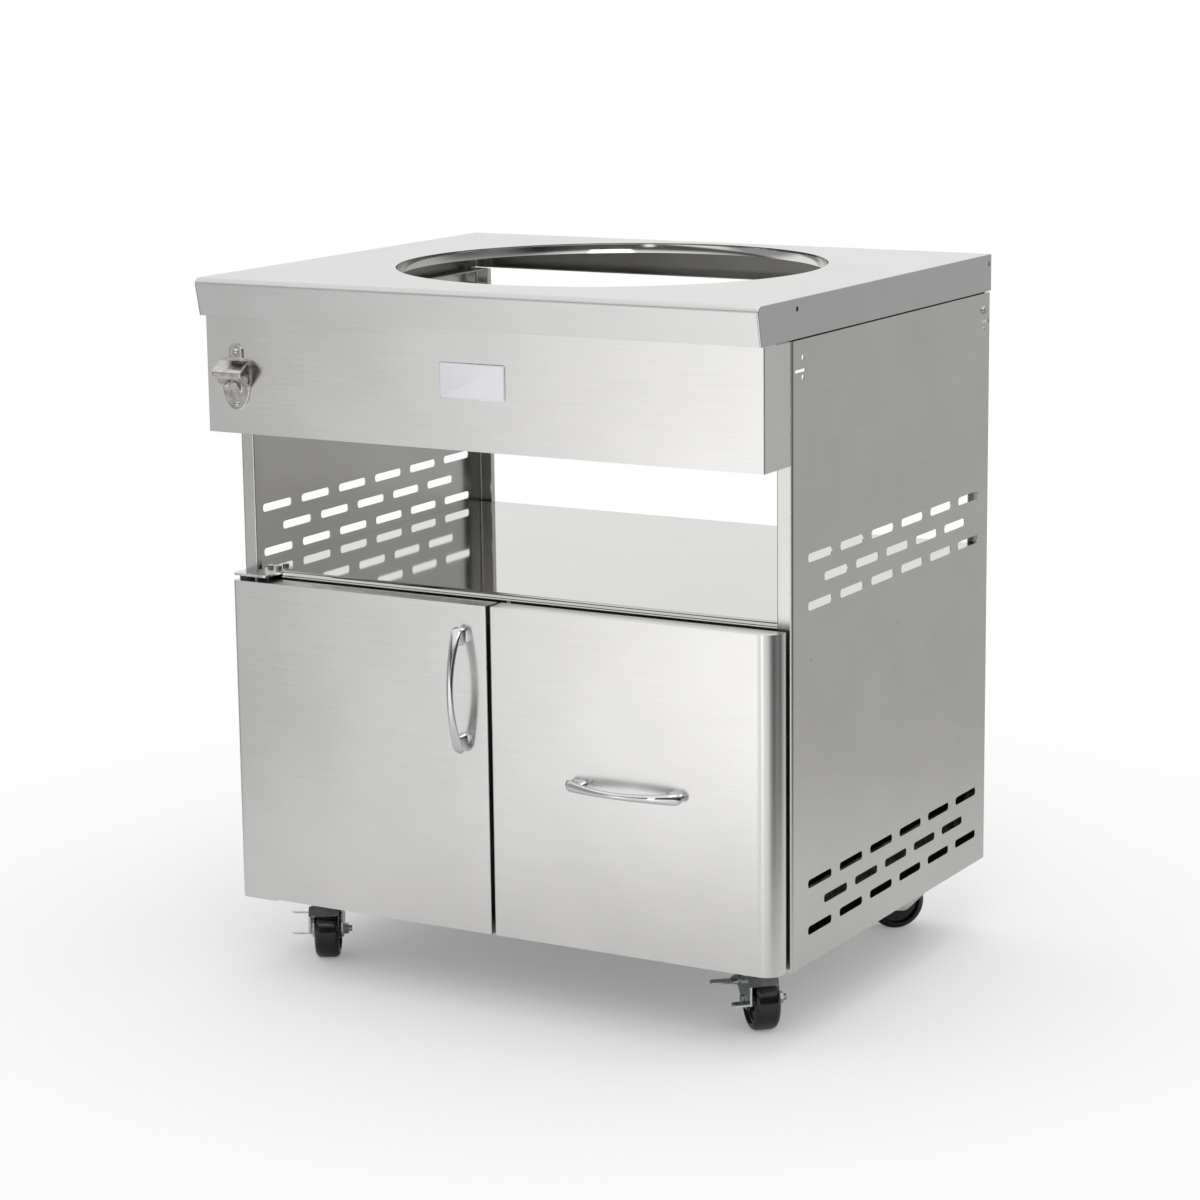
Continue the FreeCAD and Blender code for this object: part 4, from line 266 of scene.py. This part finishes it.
FINISHES = {
    top_steel: ["table_top"],
    lit_front_steel: ["front_valance", "door_skin", "drawer_skin"],
    shaded_side_steel: ["left_side_panel", "right_side_panel"],
    shelf_steel: ["kamado_shelf"],
    shaded_inner_steel: ["cabinet_back_panel", "cabinet_floor", "centre_divider", "door_liner",
                  "drawer_liner", "drawer_tray", "drawer_gussets", "door_strike_plate",
                  "top_rail_left", "top_rail_right", "top_rail_front", "top_rail_rear"],
    ring_steel: ["opening_trim_ring"],
    chrome: ["door_handle", "drawer_handle"],
    opener_chrome: ["bottle_opener"],
    zinc: ["hinge_plate_top", "hinge_plate_bottom", "caster_plates", "caster_kingpins",
           "fork_front_left", "fork_front_right", "fork_rear_left", "fork_rear_right",
           "brake_front_left", "brake_front_right"],
    slide_zinc: ["slide_outer_left", "slide_middle_left", "slide_inner_left",
                 "slide_outer_right", "slide_middle_right", "slide_inner_right"],
    fastener_steel: ["top_bolts", "accessory_screws", "shelf_rivets", "opener_screws",
                     "hinge_pins", "hinge_bolts", "door_handle_screws", "drawer_handle_screws",
                     "caster_plate_bolts", "axle_front_left", "axle_front_right",
                     "axle_rear_left", "axle_rear_right"],
    wheel_black: ["wheel_front_left", "wheel_front_right", "wheel_rear_left", "wheel_rear_right"],
    bush_black: ["door_bushes", "magnet_catch"],
    shade_black_bracket: ["slide_bracket"],
    badge_chrome: ["badge_plate"],
}


def dress_cad_nodes():
    for material, names in FINISHES.items():
        for name in names:
            for slot in cad_nodes[name].material_slots:
                slot.material = material


# Modelling

def start_piece(name, primitive, **settings):
    """Adds a primitive with nothing else selected, and puts its place into its mesh."""
    bpy.ops.object.select_all(action="DESELECT")
    primitive(**settings)
    piece = bpy.context.object
    piece.name = name
    bpy.ops.object.transform_apply(location=True, rotation=True, scale=True)
    return piece


def block(name, low, high):
    """A cuboid between two corners, as a start for shaping."""
    piece = start_piece(name, bpy.ops.mesh.primitive_cube_add, size=1)
    piece.scale = Vector(high) - Vector(low)
    piece.location = (Vector(high) + Vector(low)) / 2
    bpy.ops.object.transform_apply(location=True, rotation=True, scale=True)
    return piece


def pick_faces(piece, wanted):
    """In edit mode, selects the faces whose normal passes a test."""
    bpy.ops.mesh.select_mode(type="FACE")
    bpy.ops.mesh.select_all(action="DESELECT")
    mesh = bmesh.from_edit_mesh(piece.data)
    for face in mesh.faces:
        if wanted(face.normal):
            face.select_set(True)
    bmesh.update_edit_mesh(piece.data)


def pick_edges(piece, wanted):
    """In edit mode, selects the edges whose two ends pass a test."""
    bpy.ops.mesh.select_mode(type="EDGE")
    bpy.ops.mesh.select_all(action="DESELECT")
    mesh = bmesh.from_edit_mesh(piece.data)
    for edge in mesh.edges:
        if wanted(edge.verts[0].co, edge.verts[1].co):
            edge.select_set(True)
    bmesh.update_edit_mesh(piece.data)


def edit(piece):
    bpy.context.view_layer.objects.active = piece
    bpy.ops.object.mode_set(mode="EDIT")


def leave_edit():
    bpy.ops.object.mode_set(mode="OBJECT")


def extrude(step):
    bpy.ops.mesh.extrude_region_move(TRANSFORM_OT_translate={"value": step})


def resize(factors, centre):
    bpy.ops.transform.resize(value=factors, center_override=centre)


def apply_modifier(piece, kind, **settings):
    bpy.context.view_layer.objects.active = piece
    made = piece.modifiers.new(kind.lower(), kind)
    for name, value in settings.items():
        setattr(made, name, value)
    bpy.ops.object.modifier_apply(modifier=made.name)


def join_pieces(main, others):
    bpy.ops.object.select_all(action="DESELECT")
    for other in others:
        other.select_set(True)
    main.select_set(True)
    bpy.context.view_layer.objects.active = main
    bpy.ops.object.join()


def finish_piece(piece, body, material, replaced, sharp):
    """Smooths a piece up to the sharp angle in degrees, dresses it and hangs it on its body."""
    bpy.ops.object.select_all(action="DESELECT")
    piece.select_set(True)
    edit(piece)
    bpy.ops.mesh.select_all(action="SELECT")
    bpy.ops.mesh.normals_make_consistent(inside=False)
    leave_edit()
    bpy.ops.object.shade_smooth_by_angle(angle=math.radians(sharp))
    piece.data.materials.clear()
    piece.data.materials.append(material)
    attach(piece, body)
    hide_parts(*replaced)


# Bow handles

HANDLE_REACH = 29.5 * MM
HANDLE_END_REACH = 8.5 * MM
HANDLE_MIDDLE_WIDTH = 8.5 * MM
HANDLE_END_WIDTH = 16 * MM
HANDLE_THICKNESS = 7 * MM
HANDLE_STATIONS = 25
HANDLE_SIDES = 20
# The last stations stay just short of the tips, where the bar would narrow to a point.
HANDLE_TIP_SHARE = 0.9995
HANDLE_FOOT_LENGTH = 22 * MM
HANDLE_FOOT_WIDTH = 10 * MM
HANDLE_FOOT_INSET = 2.5 * MM
# A little less than half the width, so that two roundings never meet
HANDLE_FOOT_ROUNDING = HANDLE_FOOT_WIDTH / 2 * 0.98
HANDLE_FOOT_SEGMENTS = 8
HANDLE_FOOT_FLARE = 0.7 * MM
HANDLE_FLARE_HEIGHT = 1.6 * MM


def bow_handle(name, node, body, along, across, turn):
    """A die-cast bow pull: an oval bar with rounded tips, arched between two long webbed feet."""
    low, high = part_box(node)
    middle = (low + high) / 2
    middle.y = high.y
    half = abs((high - low).dot(along)) / 2
    rise = HANDLE_REACH - HANDLE_END_REACH

    def station(share):
        """The bar's centre, half width and half thickness at a share of its half length."""
        tip = HANDLE_END_WIDTH / 2
        into_tip = max(0.0, abs(share) * half - half + tip) / tip
        taper = math.sqrt(1 - into_tip ** 2)
        width = HANDLE_MIDDLE_WIDTH + (HANDLE_END_WIDTH - HANDLE_MIDDLE_WIDTH) * share ** 2
        thickness = HANDLE_THICKNESS * math.hypot(1, 2 * share * rise / half)
        reach = HANDLE_END_REACH + rise * (1 - share ** 2)
        centre = middle + along * (share * half) - Y_AXIS * reach
        return centre, width / 2 * taper, thickness / 2 * taper

    shares = [HANDLE_TIP_SHARE * math.sin(math.pi * (k / (HANDLE_STATIONS - 1) - 0.5))
              for k in range(HANDLE_STATIONS)]
    centre, wide, thick = station(shares[0])
    bar = start_piece(name, bpy.ops.mesh.primitive_circle_add, vertices=HANDLE_SIDES, radius=1,
                      fill_type="NGON", location=centre, rotation=turn)
    edit(bar)
    bpy.ops.mesh.select_all(action="SELECT")
    resize(across * wide + Y_AXIS * thick + along, centre)
    for share in shares[1:]:
        last, last_wide, last_thick = centre, wide, thick
        centre, wide, thick = station(share)
        extrude(centre - last)
        resize(across * (wide / last_wide) + Y_AXIS * (thick / last_thick) + along, centre)
    leave_edit()
    outer = half - HANDLE_FOOT_INSET
    ends = (outer - HANDLE_FOOT_LENGTH, outer)
    feet = []
    for side in (-1, 1):
        ground = [middle + along * (side * end) for end in ends]
        under_bar = [station(side * end / half)[0] for end in ends]
        feet.append(handle_foot(ground, under_bar, across))
    join_pieces(bar, feet)
    finish_piece(bar, body, chrome, [node], sharp=60)


def handle_foot(ground, under_bar, across):
    """A web with round ends from the sheet up into the bar, flared where it stands."""
    reach = ground[0].y - under_bar[0].y
    side = across * (HANDLE_FOOT_WIDTH / 2)
    corners = [ground[0] - side, ground[1] + side - Y_AXIS * reach]
    low = [min(corner[k] for corner in corners) for k in range(3)]
    high = [max(corner[k] for corner in corners) for k in range(3)]
    foot = block("handle_foot", low, high)
    edit(foot)
    pick_edges(foot, lambda a, b: abs(a.y - b.y) > reach / 2)
    bpy.ops.mesh.bevel(offset=HANDLE_FOOT_ROUNDING, segments=HANDLE_FOOT_SEGMENTS, affect="EDGES")
    over = (under_bar[1] - under_bar[0]).cross(across).normalized()
    if over.y > 0:
        over = -over
    bpy.ops.mesh.select_all(action="SELECT")
    bpy.ops.mesh.bisect(plane_co=under_bar[0], plane_no=over, use_fill=True, clear_outer=True)
    bpy.ops.mesh.select_all(action="SELECT")
    bpy.ops.mesh.bisect(plane_co=ground[0] - Y_AXIS * HANDLE_FLARE_HEIGHT, plane_no=Y_AXIS)
    pick_faces(foot, lambda normal: normal.y > 0.5)
    grow = [1 + 2 * HANDLE_FOOT_FLARE / (far - near) for near, far in zip(low, high)]
    resize((grow[0], 1, grow[2]), (ground[0] + ground[1]) / 2)
    leave_edit()
    return foot


# Bottle opener: its shield and tab

OPENER_THICKNESS = 3 * MM
OPENER_FOOT = 0.2 * MM
# In the outline, lengths are bare millimetres: the height over the foot and the half width there.
# The tab ends in an arc, drawn every 8 degrees.
TAB_RADIUS = 9.7
TAB_MIDDLE = 72.3
OPENER_OUTLINE = [(0, 3.4), (0.6, 5.4), (1.6, 7.4), (3.2, 9.7), (5.5, 12), (8.5, 14.2),
                  (12.5, 16.4), (17, 18.2), (22, 19.5), (28, 20.4), (34, 20.5), (52, 20.5),
                  (57, 20), (60, 17.5), (61.6, 14), (62.8, 11.2), (64.5, 9.9), (66, TAB_RADIUS)]
OPENER_OUTLINE += [(TAB_MIDDLE + TAB_RADIUS * math.sin(math.radians(turn)),
                    TAB_RADIUS * math.cos(math.radians(turn))) for turn in range(0, 89, 8)]


def opener_plate(middle_x, back, foot):
    """The opener's shield and its upper tab, drawn upwards row by row."""
    half = OPENER_OUTLINE[0][1]
    plate = block("opener_plate", (middle_x - half * MM, back - OPENER_THICKNESS, foot),
                  (middle_x + half * MM, back, foot + OPENER_FOOT))
    edit(plate)
    pick_faces(plate, lambda normal: normal.z > 0.5)
    last = OPENER_FOOT / MM
    for height, half_width in OPENER_OUTLINE[1:]:
        extrude((0, 0, (height - last) * MM))
        resize((half_width / half, 1, 1), (middle_x, back, foot + height * MM))
        last, half = height, half_width
    leave_edit()
    return plate


# Bottle opener: its hood, as two bends, each followed by a straight run

HOOD_WALL = 2.6 * MM
HOOD_TOP = 62.6 * MM
HOOD_ROOT = 4 * MM
HOOD_BROW_RADIUS = 3 * MM
HOOD_BROW_TURN = math.radians(35)
HOOD_BROW_RUN = 18 * MM
HOOD_NOSE_RADIUS = 5 * MM
HOOD_NOSE_TURN = math.radians(110)
HOOD_LIP_RUN = 22 * MM
HOOD_BEND_STEPS = 10


def opener_hood(middle_x, half_width, back, top):
    """The canopy over the cap: it slopes away from the plate, turns under at its nose and comes
    back."""
    hood = block("opener_hood", (middle_x - half_width, back - HOOD_ROOT, top - HOOD_WALL),
                 (middle_x + half_width, back, top))
    edit(hood)
    pick_faces(hood, lambda normal: normal.y < -0.5)
    place, slope = Vector((middle_x, back - HOOD_ROOT, top - HOOD_WALL / 2)), 0.0
    for radius, turn, run in ((HOOD_BROW_RADIUS, HOOD_BROW_TURN, HOOD_BROW_RUN),
                              (HOOD_NOSE_RADIUS, HOOD_NOSE_TURN, HOOD_LIP_RUN)):
        pivot = place + Vector((0, math.sin(slope), -math.cos(slope))) * radius
        bpy.ops.mesh.spin(steps=HOOD_BEND_STEPS, angle=-turn, center=pivot, axis=X_AXIS)
        slope += turn
        ahead = Vector((0, -math.cos(slope), -math.sin(slope)))
        extrude(ahead * run)
        place = pivot - Vector((0, math.sin(slope), -math.cos(slope))) * radius + ahead * run
    bpy.ops.mesh.select_all(action="SELECT")
    bpy.ops.mesh.remove_doubles(threshold=WELD)
    bpy.ops.mesh.normals_make_consistent(inside=False)
    leave_edit()
    return hood


# Bottle opener: its mouth, its tooth and the casting's soft edges

MOUTH_RADIUS = 15 * MM
MOUTH_TOP = 45 * MM
MOUTH_SIDES = 64
TOOTH_REACH = 9 * MM
TOOTH_WIDTH = 14 * MM
TOOTH_TOP = 35 * MM
TOOTH_ROOT_DROP = 11 * MM
CASTING_VOXEL = 0.5 * MM
SMOOTHING_SHARE = 0.5
SMOOTHING_PASSES = 14


def bottle_opener():
    """A cast wall opener, plated: every edge is soft, as it left the mould."""
    low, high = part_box("bottle_opener")
    middle_x = (low.x + high.x) / 2
    face = high.y - OPENER_THICKNESS
    casting = opener_plate(middle_x, high.y, low.z)
    hood = opener_hood(middle_x, (high.x - low.x) / 2, high.y, low.z + HOOD_TOP)
    mouth = start_piece("opener_mouth", bpy.ops.mesh.primitive_cylinder_add, vertices=MOUTH_SIDES,
                        radius=MOUTH_RADIUS, depth=MOUTH_TOP,
                        location=(middle_x, face, low.z + MOUTH_TOP / 2))
    apply_modifier(hood, "BOOLEAN", object=mouth, operation="DIFFERENCE", solver="EXACT")
    bpy.data.objects.remove(mouth)
    half, top = TOOTH_WIDTH / 2, low.z + TOOTH_TOP
    tooth = block("opener_tooth", (middle_x - half, face - TOOTH_REACH, top - OPENER_THICKNESS),
                  (middle_x + half, high.y - OPENER_THICKNESS / 2, top))
    edit(tooth)
    pick_edges(tooth, lambda a, b: (min(a.y, b.y) > face
                                    and max(a.z, b.z) < top - OPENER_THICKNESS / 2))
    bpy.ops.transform.translate(value=(0, 0, -TOOTH_ROOT_DROP))
    leave_edit()
    join_pieces(casting, [hood, tooth])
    casting.name = "opener_casting"
    apply_modifier(casting, "REMESH", mode="VOXEL", voxel_size=CASTING_VOXEL)
    apply_modifier(casting, "SMOOTH", factor=SMOOTHING_SHARE, iterations=SMOOTHING_PASSES)
    finish_piece(casting, "frame", opener_chrome, ["bottle_opener"], sharp=180)


# Badge

BADGE_BACKING = 0.9 * MM
BADGE_BACKING_EDGE = 0.3 * MM
BADGE_CORNER = 2.2 * MM
BADGE_CORNER_SEGMENTS = 6
BADGE_MARGIN = 0.8 * MM
BADGE_DOME_EDGE = 1.2 * MM


def badge_layer(name, low, high, corner, edge, segments, material):
    """One layer of the badge: rounded corners, and a rounded edge round its front."""
    layer = block(name, low, high)
    edit(layer)
    pick_edges(layer, lambda a, b: abs(a.y - b.y) > abs(a.x - b.x) + abs(a.z - b.z))
    bpy.ops.mesh.bevel(offset=corner, segments=BADGE_CORNER_SEGMENTS, affect="EDGES")
    pick_edges(layer, lambda a, b: max(a.y, b.y) < low[1] + WELD)
    bpy.ops.mesh.bevel(offset=edge, segments=segments, affect="EDGES")
    leave_edit()
    finish_piece(layer, "frame", material, ["badge_plate"], sharp=50)


def badge():
    """The badge on the valance, left bare: a bright backing under a clear domed label."""
    low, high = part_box("badge_plate")
    badge_layer("badge_backing", (low.x, high.y - BADGE_BACKING, low.z), tuple(high),
                BADGE_CORNER, BADGE_BACKING_EDGE, 2, badge_chrome)
    badge_layer("badge_label", (low.x + BADGE_MARGIN, low.y, low.z + BADGE_MARGIN),
                (high.x - BADGE_MARGIN, high.y - BADGE_BACKING, high.z - BADGE_MARGIN),
                BADGE_CORNER - BADGE_MARGIN / 2, BADGE_DOME_EDGE, 5, badge_resin)


# Opening trim ring

RING_WALL = 3 * MM
RING_TOP_EDGE = 0.8 * MM
RING_STATIONS = 9
RING_SIDES = 256


def trim_ring():
    """A welded strip, dressed into a hollow: upright under the sheet, leaning in to its foot."""
    low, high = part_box("opening_trim_ring")
    centre = (low + high) / 2
    outer = (high.x - low.x) / 2
    shares = [k / (RING_STATIONS - 1) for k in range(RING_STATIONS)]
    profile = [(outer - RING_TOP_EDGE - (RING_WALL - RING_TOP_EDGE) * share ** 2,
                high.z - (high.z - low.z) * share) for share in shares]
    profile += [(outer, low.z), (outer, high.z)]
    ring = start_piece("trim_ring", bpy.ops.mesh.primitive_circle_add, vertices=RING_SIDES,
                       radius=outer, location=(centre.x, centre.y, high.z))
    edit(ring)
    bpy.ops.mesh.select_all(action="SELECT")
    last_radius, last_z = outer, high.z
    for radius, z in profile:
        extrude((0, 0, z - last_z))
        scale = radius / last_radius
        resize((scale, scale, 1), (centre.x, centre.y, z))
        last_radius, last_z = radius, z
    bpy.ops.mesh.select_all(action="SELECT")
    bpy.ops.mesh.remove_doubles(threshold=WELD)
    leave_edit()
    finish_piece(ring, "frame", ring_steel, ["opening_trim_ring"], sharp=35)


# Stage: a pale floor that turns into white, and the room that the steel mirrors

FLOOR_HALF = 2.6
FLOOR_PAINT = ("E0E0E0", "E6E6E6")
FLOOR_GRAIN = 3 * MM
FLOOR_ROUGHNESS = 0.8
# The distances from the table's middle between which the floor turns white
FLOOR_NEAR = 0.55
FLOOR_FAR = 1.7
# How much brighter it is to the camera alone
FLOOR_LIFT = 0.22


def floor_material():
    """Matt pale studio floor: it takes the shadow under the table. Further out it is plain white
    to the camera, and the steel looks past it into the room."""
    material, tree, place = new_material("pale_studio_floor")
    distance = add(tree, "VectorMath", links={0: place}, operation="LENGTH")
    fade = add(tree, "MapRange", {"From Min": FLOOR_NEAR, "From Max": FLOOR_FAR},
               {"Value": distance.outputs["Value"]}, interpolation_type="SMOOTHSTEP")
    grain = add(tree, "TexNoise", {"Scale": 1 / FLOOR_GRAIN, "Detail": 2.0}, {"Vector": place})
    paint = add(tree, "Mix", {6: linear(FLOOR_PAINT[0]), 7: linear(FLOOR_PAINT[1])},
                {0: grain.outputs["Fac"]}, data_type="RGBA")
    matt = add(tree, "BsdfPrincipled", {"Roughness": FLOOR_ROUGHNESS},
               {"Base Color": paint.outputs[2]})
    path = add(tree, "LightPath")
    raised = add(tree, "Math", {1: FLOOR_LIFT}, {0: path.outputs["Is Camera Ray"]},
                 operation="MULTIPLY")
    lift = add(tree, "Emission", {"Color": WHITE}, {"Strength": raised.outputs[0]})
    near = add(tree, "AddShader", links={0: matt.outputs[0], 1: lift.outputs[0]})
    white = add(tree, "Emission", {"Color": WHITE, "Strength": 1.0})
    clear = add(tree, "BsdfTransparent")
    far = add(tree, "MixShader", links={0: path.outputs["Is Glossy Ray"], 1: white.outputs[0],
                                        2: clear.outputs[0]})
    whole = add(tree, "MixShader", links={0: fade.outputs[0], 1: near.outputs[0],
                                          2: far.outputs[0]})
    add(tree, "OutputMaterial", links={"Surface": whole.outputs[0]})
    return material


def lay_floor():
    floor = start_piece("studio_floor", bpy.ops.mesh.primitive_plane_add, size=2 * FLOOR_HALF)
    floor.data.materials.append(floor_material())


# The room that the steel mirrors is white, with these darker or brighter sides: the way to the
# middle of each, the cosines between which it comes on, and how bright it is there.
ROOM_SIDES = [
    (Vector((-0.86, -0.46, -0.20)).normalized(), 0.81, 0.93, 0.36),
    (Vector((-0.20, -0.87, -0.42)).normalized(), 0.875, 0.955, 1.55),
    (Vector((-0.16, -0.95, -0.25)).normalized(), 0.962, 0.992, 0.60),
    (Vector((0.98, 0.09, -0.17)).normalized(), 0.54, 0.95, 0.20),
    (Vector((0.50, 0.85, -0.20)).normalized(), 0.60, 0.90, 0.52),
    (Vector((0.0, 0.0, -1.0)), 0.50, 0.80, 0.60),
]
# In front, an unlit band of the studio stands above the edge of the white floor. In the way that
# a reflection goes, these are how much the band's lower edge drops to the right, the heights over
# which it comes on and goes off, the depths over which it comes on, and its brightness.
UNLIT_TILT = 0.30
UNLIT_LOWER_EDGE = (-0.04, 0.06)
UNLIT_UPPER_EDGE = (0.30, 0.48)
UNLIT_DEPTHS = (0.15, -0.35)
UNLIT_LEVEL = 0.10
# How bright the room is to matt surfaces
ROOM_LIGHT = 0.82


def light_world():
    """White to the camera. The steel mirrors a white room with darker sides and an unlit band."""
    world = bpy.data.worlds.new("studio_room")
    bpy.context.scene.world = world
    world.use_nodes = True
    tree = world.node_tree
    tree.nodes.clear()
    way = add(tree, "TexCoord").outputs["Generated"]
    path = add(tree, "LightPath")
    room = path.outputs["Is Glossy Ray"]
    for middle, start, end, level in ROOM_SIDES:
        toward = add(tree, "VectorMath", {1: middle}, {0: way}, operation="DOT_PRODUCT")
        shade = add(tree, "MapRange",
                    {"From Min": start, "From Max": end, "To Min": 1.0, "To Max": level},
                    {"Value": toward.outputs["Value"]}, interpolation_type="SMOOTHSTEP")
        room = add(tree, "Math", links={0: room, 1: shade.outputs[0]},
                   operation="MULTIPLY").outputs[0]
    parts = add(tree, "SeparateXYZ", links={0: way})
    unlit = add(tree, "MapRange", {"From Min": UNLIT_DEPTHS[0], "From Max": UNLIT_DEPTHS[1]},
                {"Value": parts.outputs["Y"]}, interpolation_type="SMOOTHSTEP").outputs[0]
    tilted = add(tree, "Math", {1: UNLIT_TILT}, {0: parts.outputs["X"], 2: parts.outputs["Z"]},
                 operation="MULTIPLY_ADD")
    for height, (start, end), (below, above) in (
            (tilted.outputs[0], UNLIT_LOWER_EDGE, (0.0, 1.0)),
            (parts.outputs["Z"], UNLIT_UPPER_EDGE, (1.0, 0.0))):
        edge = add(tree, "MapRange",
                   {"From Min": start, "From Max": end, "To Min": below, "To Max": above},
                   {"Value": height}, interpolation_type="SMOOTHSTEP")
        unlit = add(tree, "Math", links={0: unlit, 1: edge.outputs[0]},
                    operation="MULTIPLY").outputs[0]
    lit = add(tree, "MapRange", {"To Min": 1.0, "To Max": UNLIT_LEVEL}, {"Value": unlit})
    room = add(tree, "Math", links={0: room, 1: lit.outputs[0]}, operation="MULTIPLY")
    plain = add(tree, "Math", links={0: path.outputs["Is Camera Ray"],
                                     1: path.outputs["Is Transmission Ray"]}, operation="MAXIMUM")
    seen = add(tree, "Math", links={0: room.outputs[0], 1: plain.outputs[0]}, operation="MAXIMUM")
    matt = add(tree, "Math", {1: ROOM_LIGHT}, {0: path.outputs["Is Diffuse Ray"]},
               operation="MULTIPLY")
    strength = add(tree, "Math", links={0: seen.outputs[0], 1: matt.outputs[0]},
                   operation="MAXIMUM")
    background = add(tree, "Background", {"Color": WHITE}, {"Strength": strength.outputs[0]})
    add(tree, "OutputWorld", links={"Surface": background.outputs[0]})


# Soft lamps: where each stands, what it points at, its width and height, and its watts
SOFTBOXES = {
    "key_softbox": ((1.7, -2.9, 3.0), (0, 0, 0.5), (1.6, 1.6), 18),
    "overhead_softbox": ((0.3, 0.4, 3.6), (0, 0, 0.8), (2.4, 2.0), 16),
    "strip_softbox": ((0.45, -3.1, 0.7), (0, 0, 0.6), (0.3, 1.6), 1.8),
}


def add_softboxes():
    for name, (place, aim, size, power) in SOFTBOXES.items():
        data = bpy.data.lights.new(name, "AREA")
        data.shape = "RECTANGLE"
        data.size, data.size_y = size
        data.energy = power
        lamp = bpy.data.objects.new(name, data)
        bpy.context.scene.collection.objects.link(lamp)
        lamp.location = place
        lamp.rotation_mode = "QUATERNION"
        lamp.rotation_quaternion = (Vector(aim) - Vector(place)).to_track_quat("-Z", "Y")
        lamp.visible_camera = False


place_camera()
light_world()
add_softboxes()
lay_floor()
dress_cad_nodes()
bow_handle("door_bow_handle", "door_handle", "door", Z_AXIS, X_AXIS, (0, 0, 0))
bow_handle("drawer_bow_handle", "drawer_handle", "drawer", X_AXIS, Z_AXIS, (0, math.pi / 2, 0))
bottle_opener()
badge()
trim_ring()
bpy.context.scene.view_settings.view_transform = "Standard"
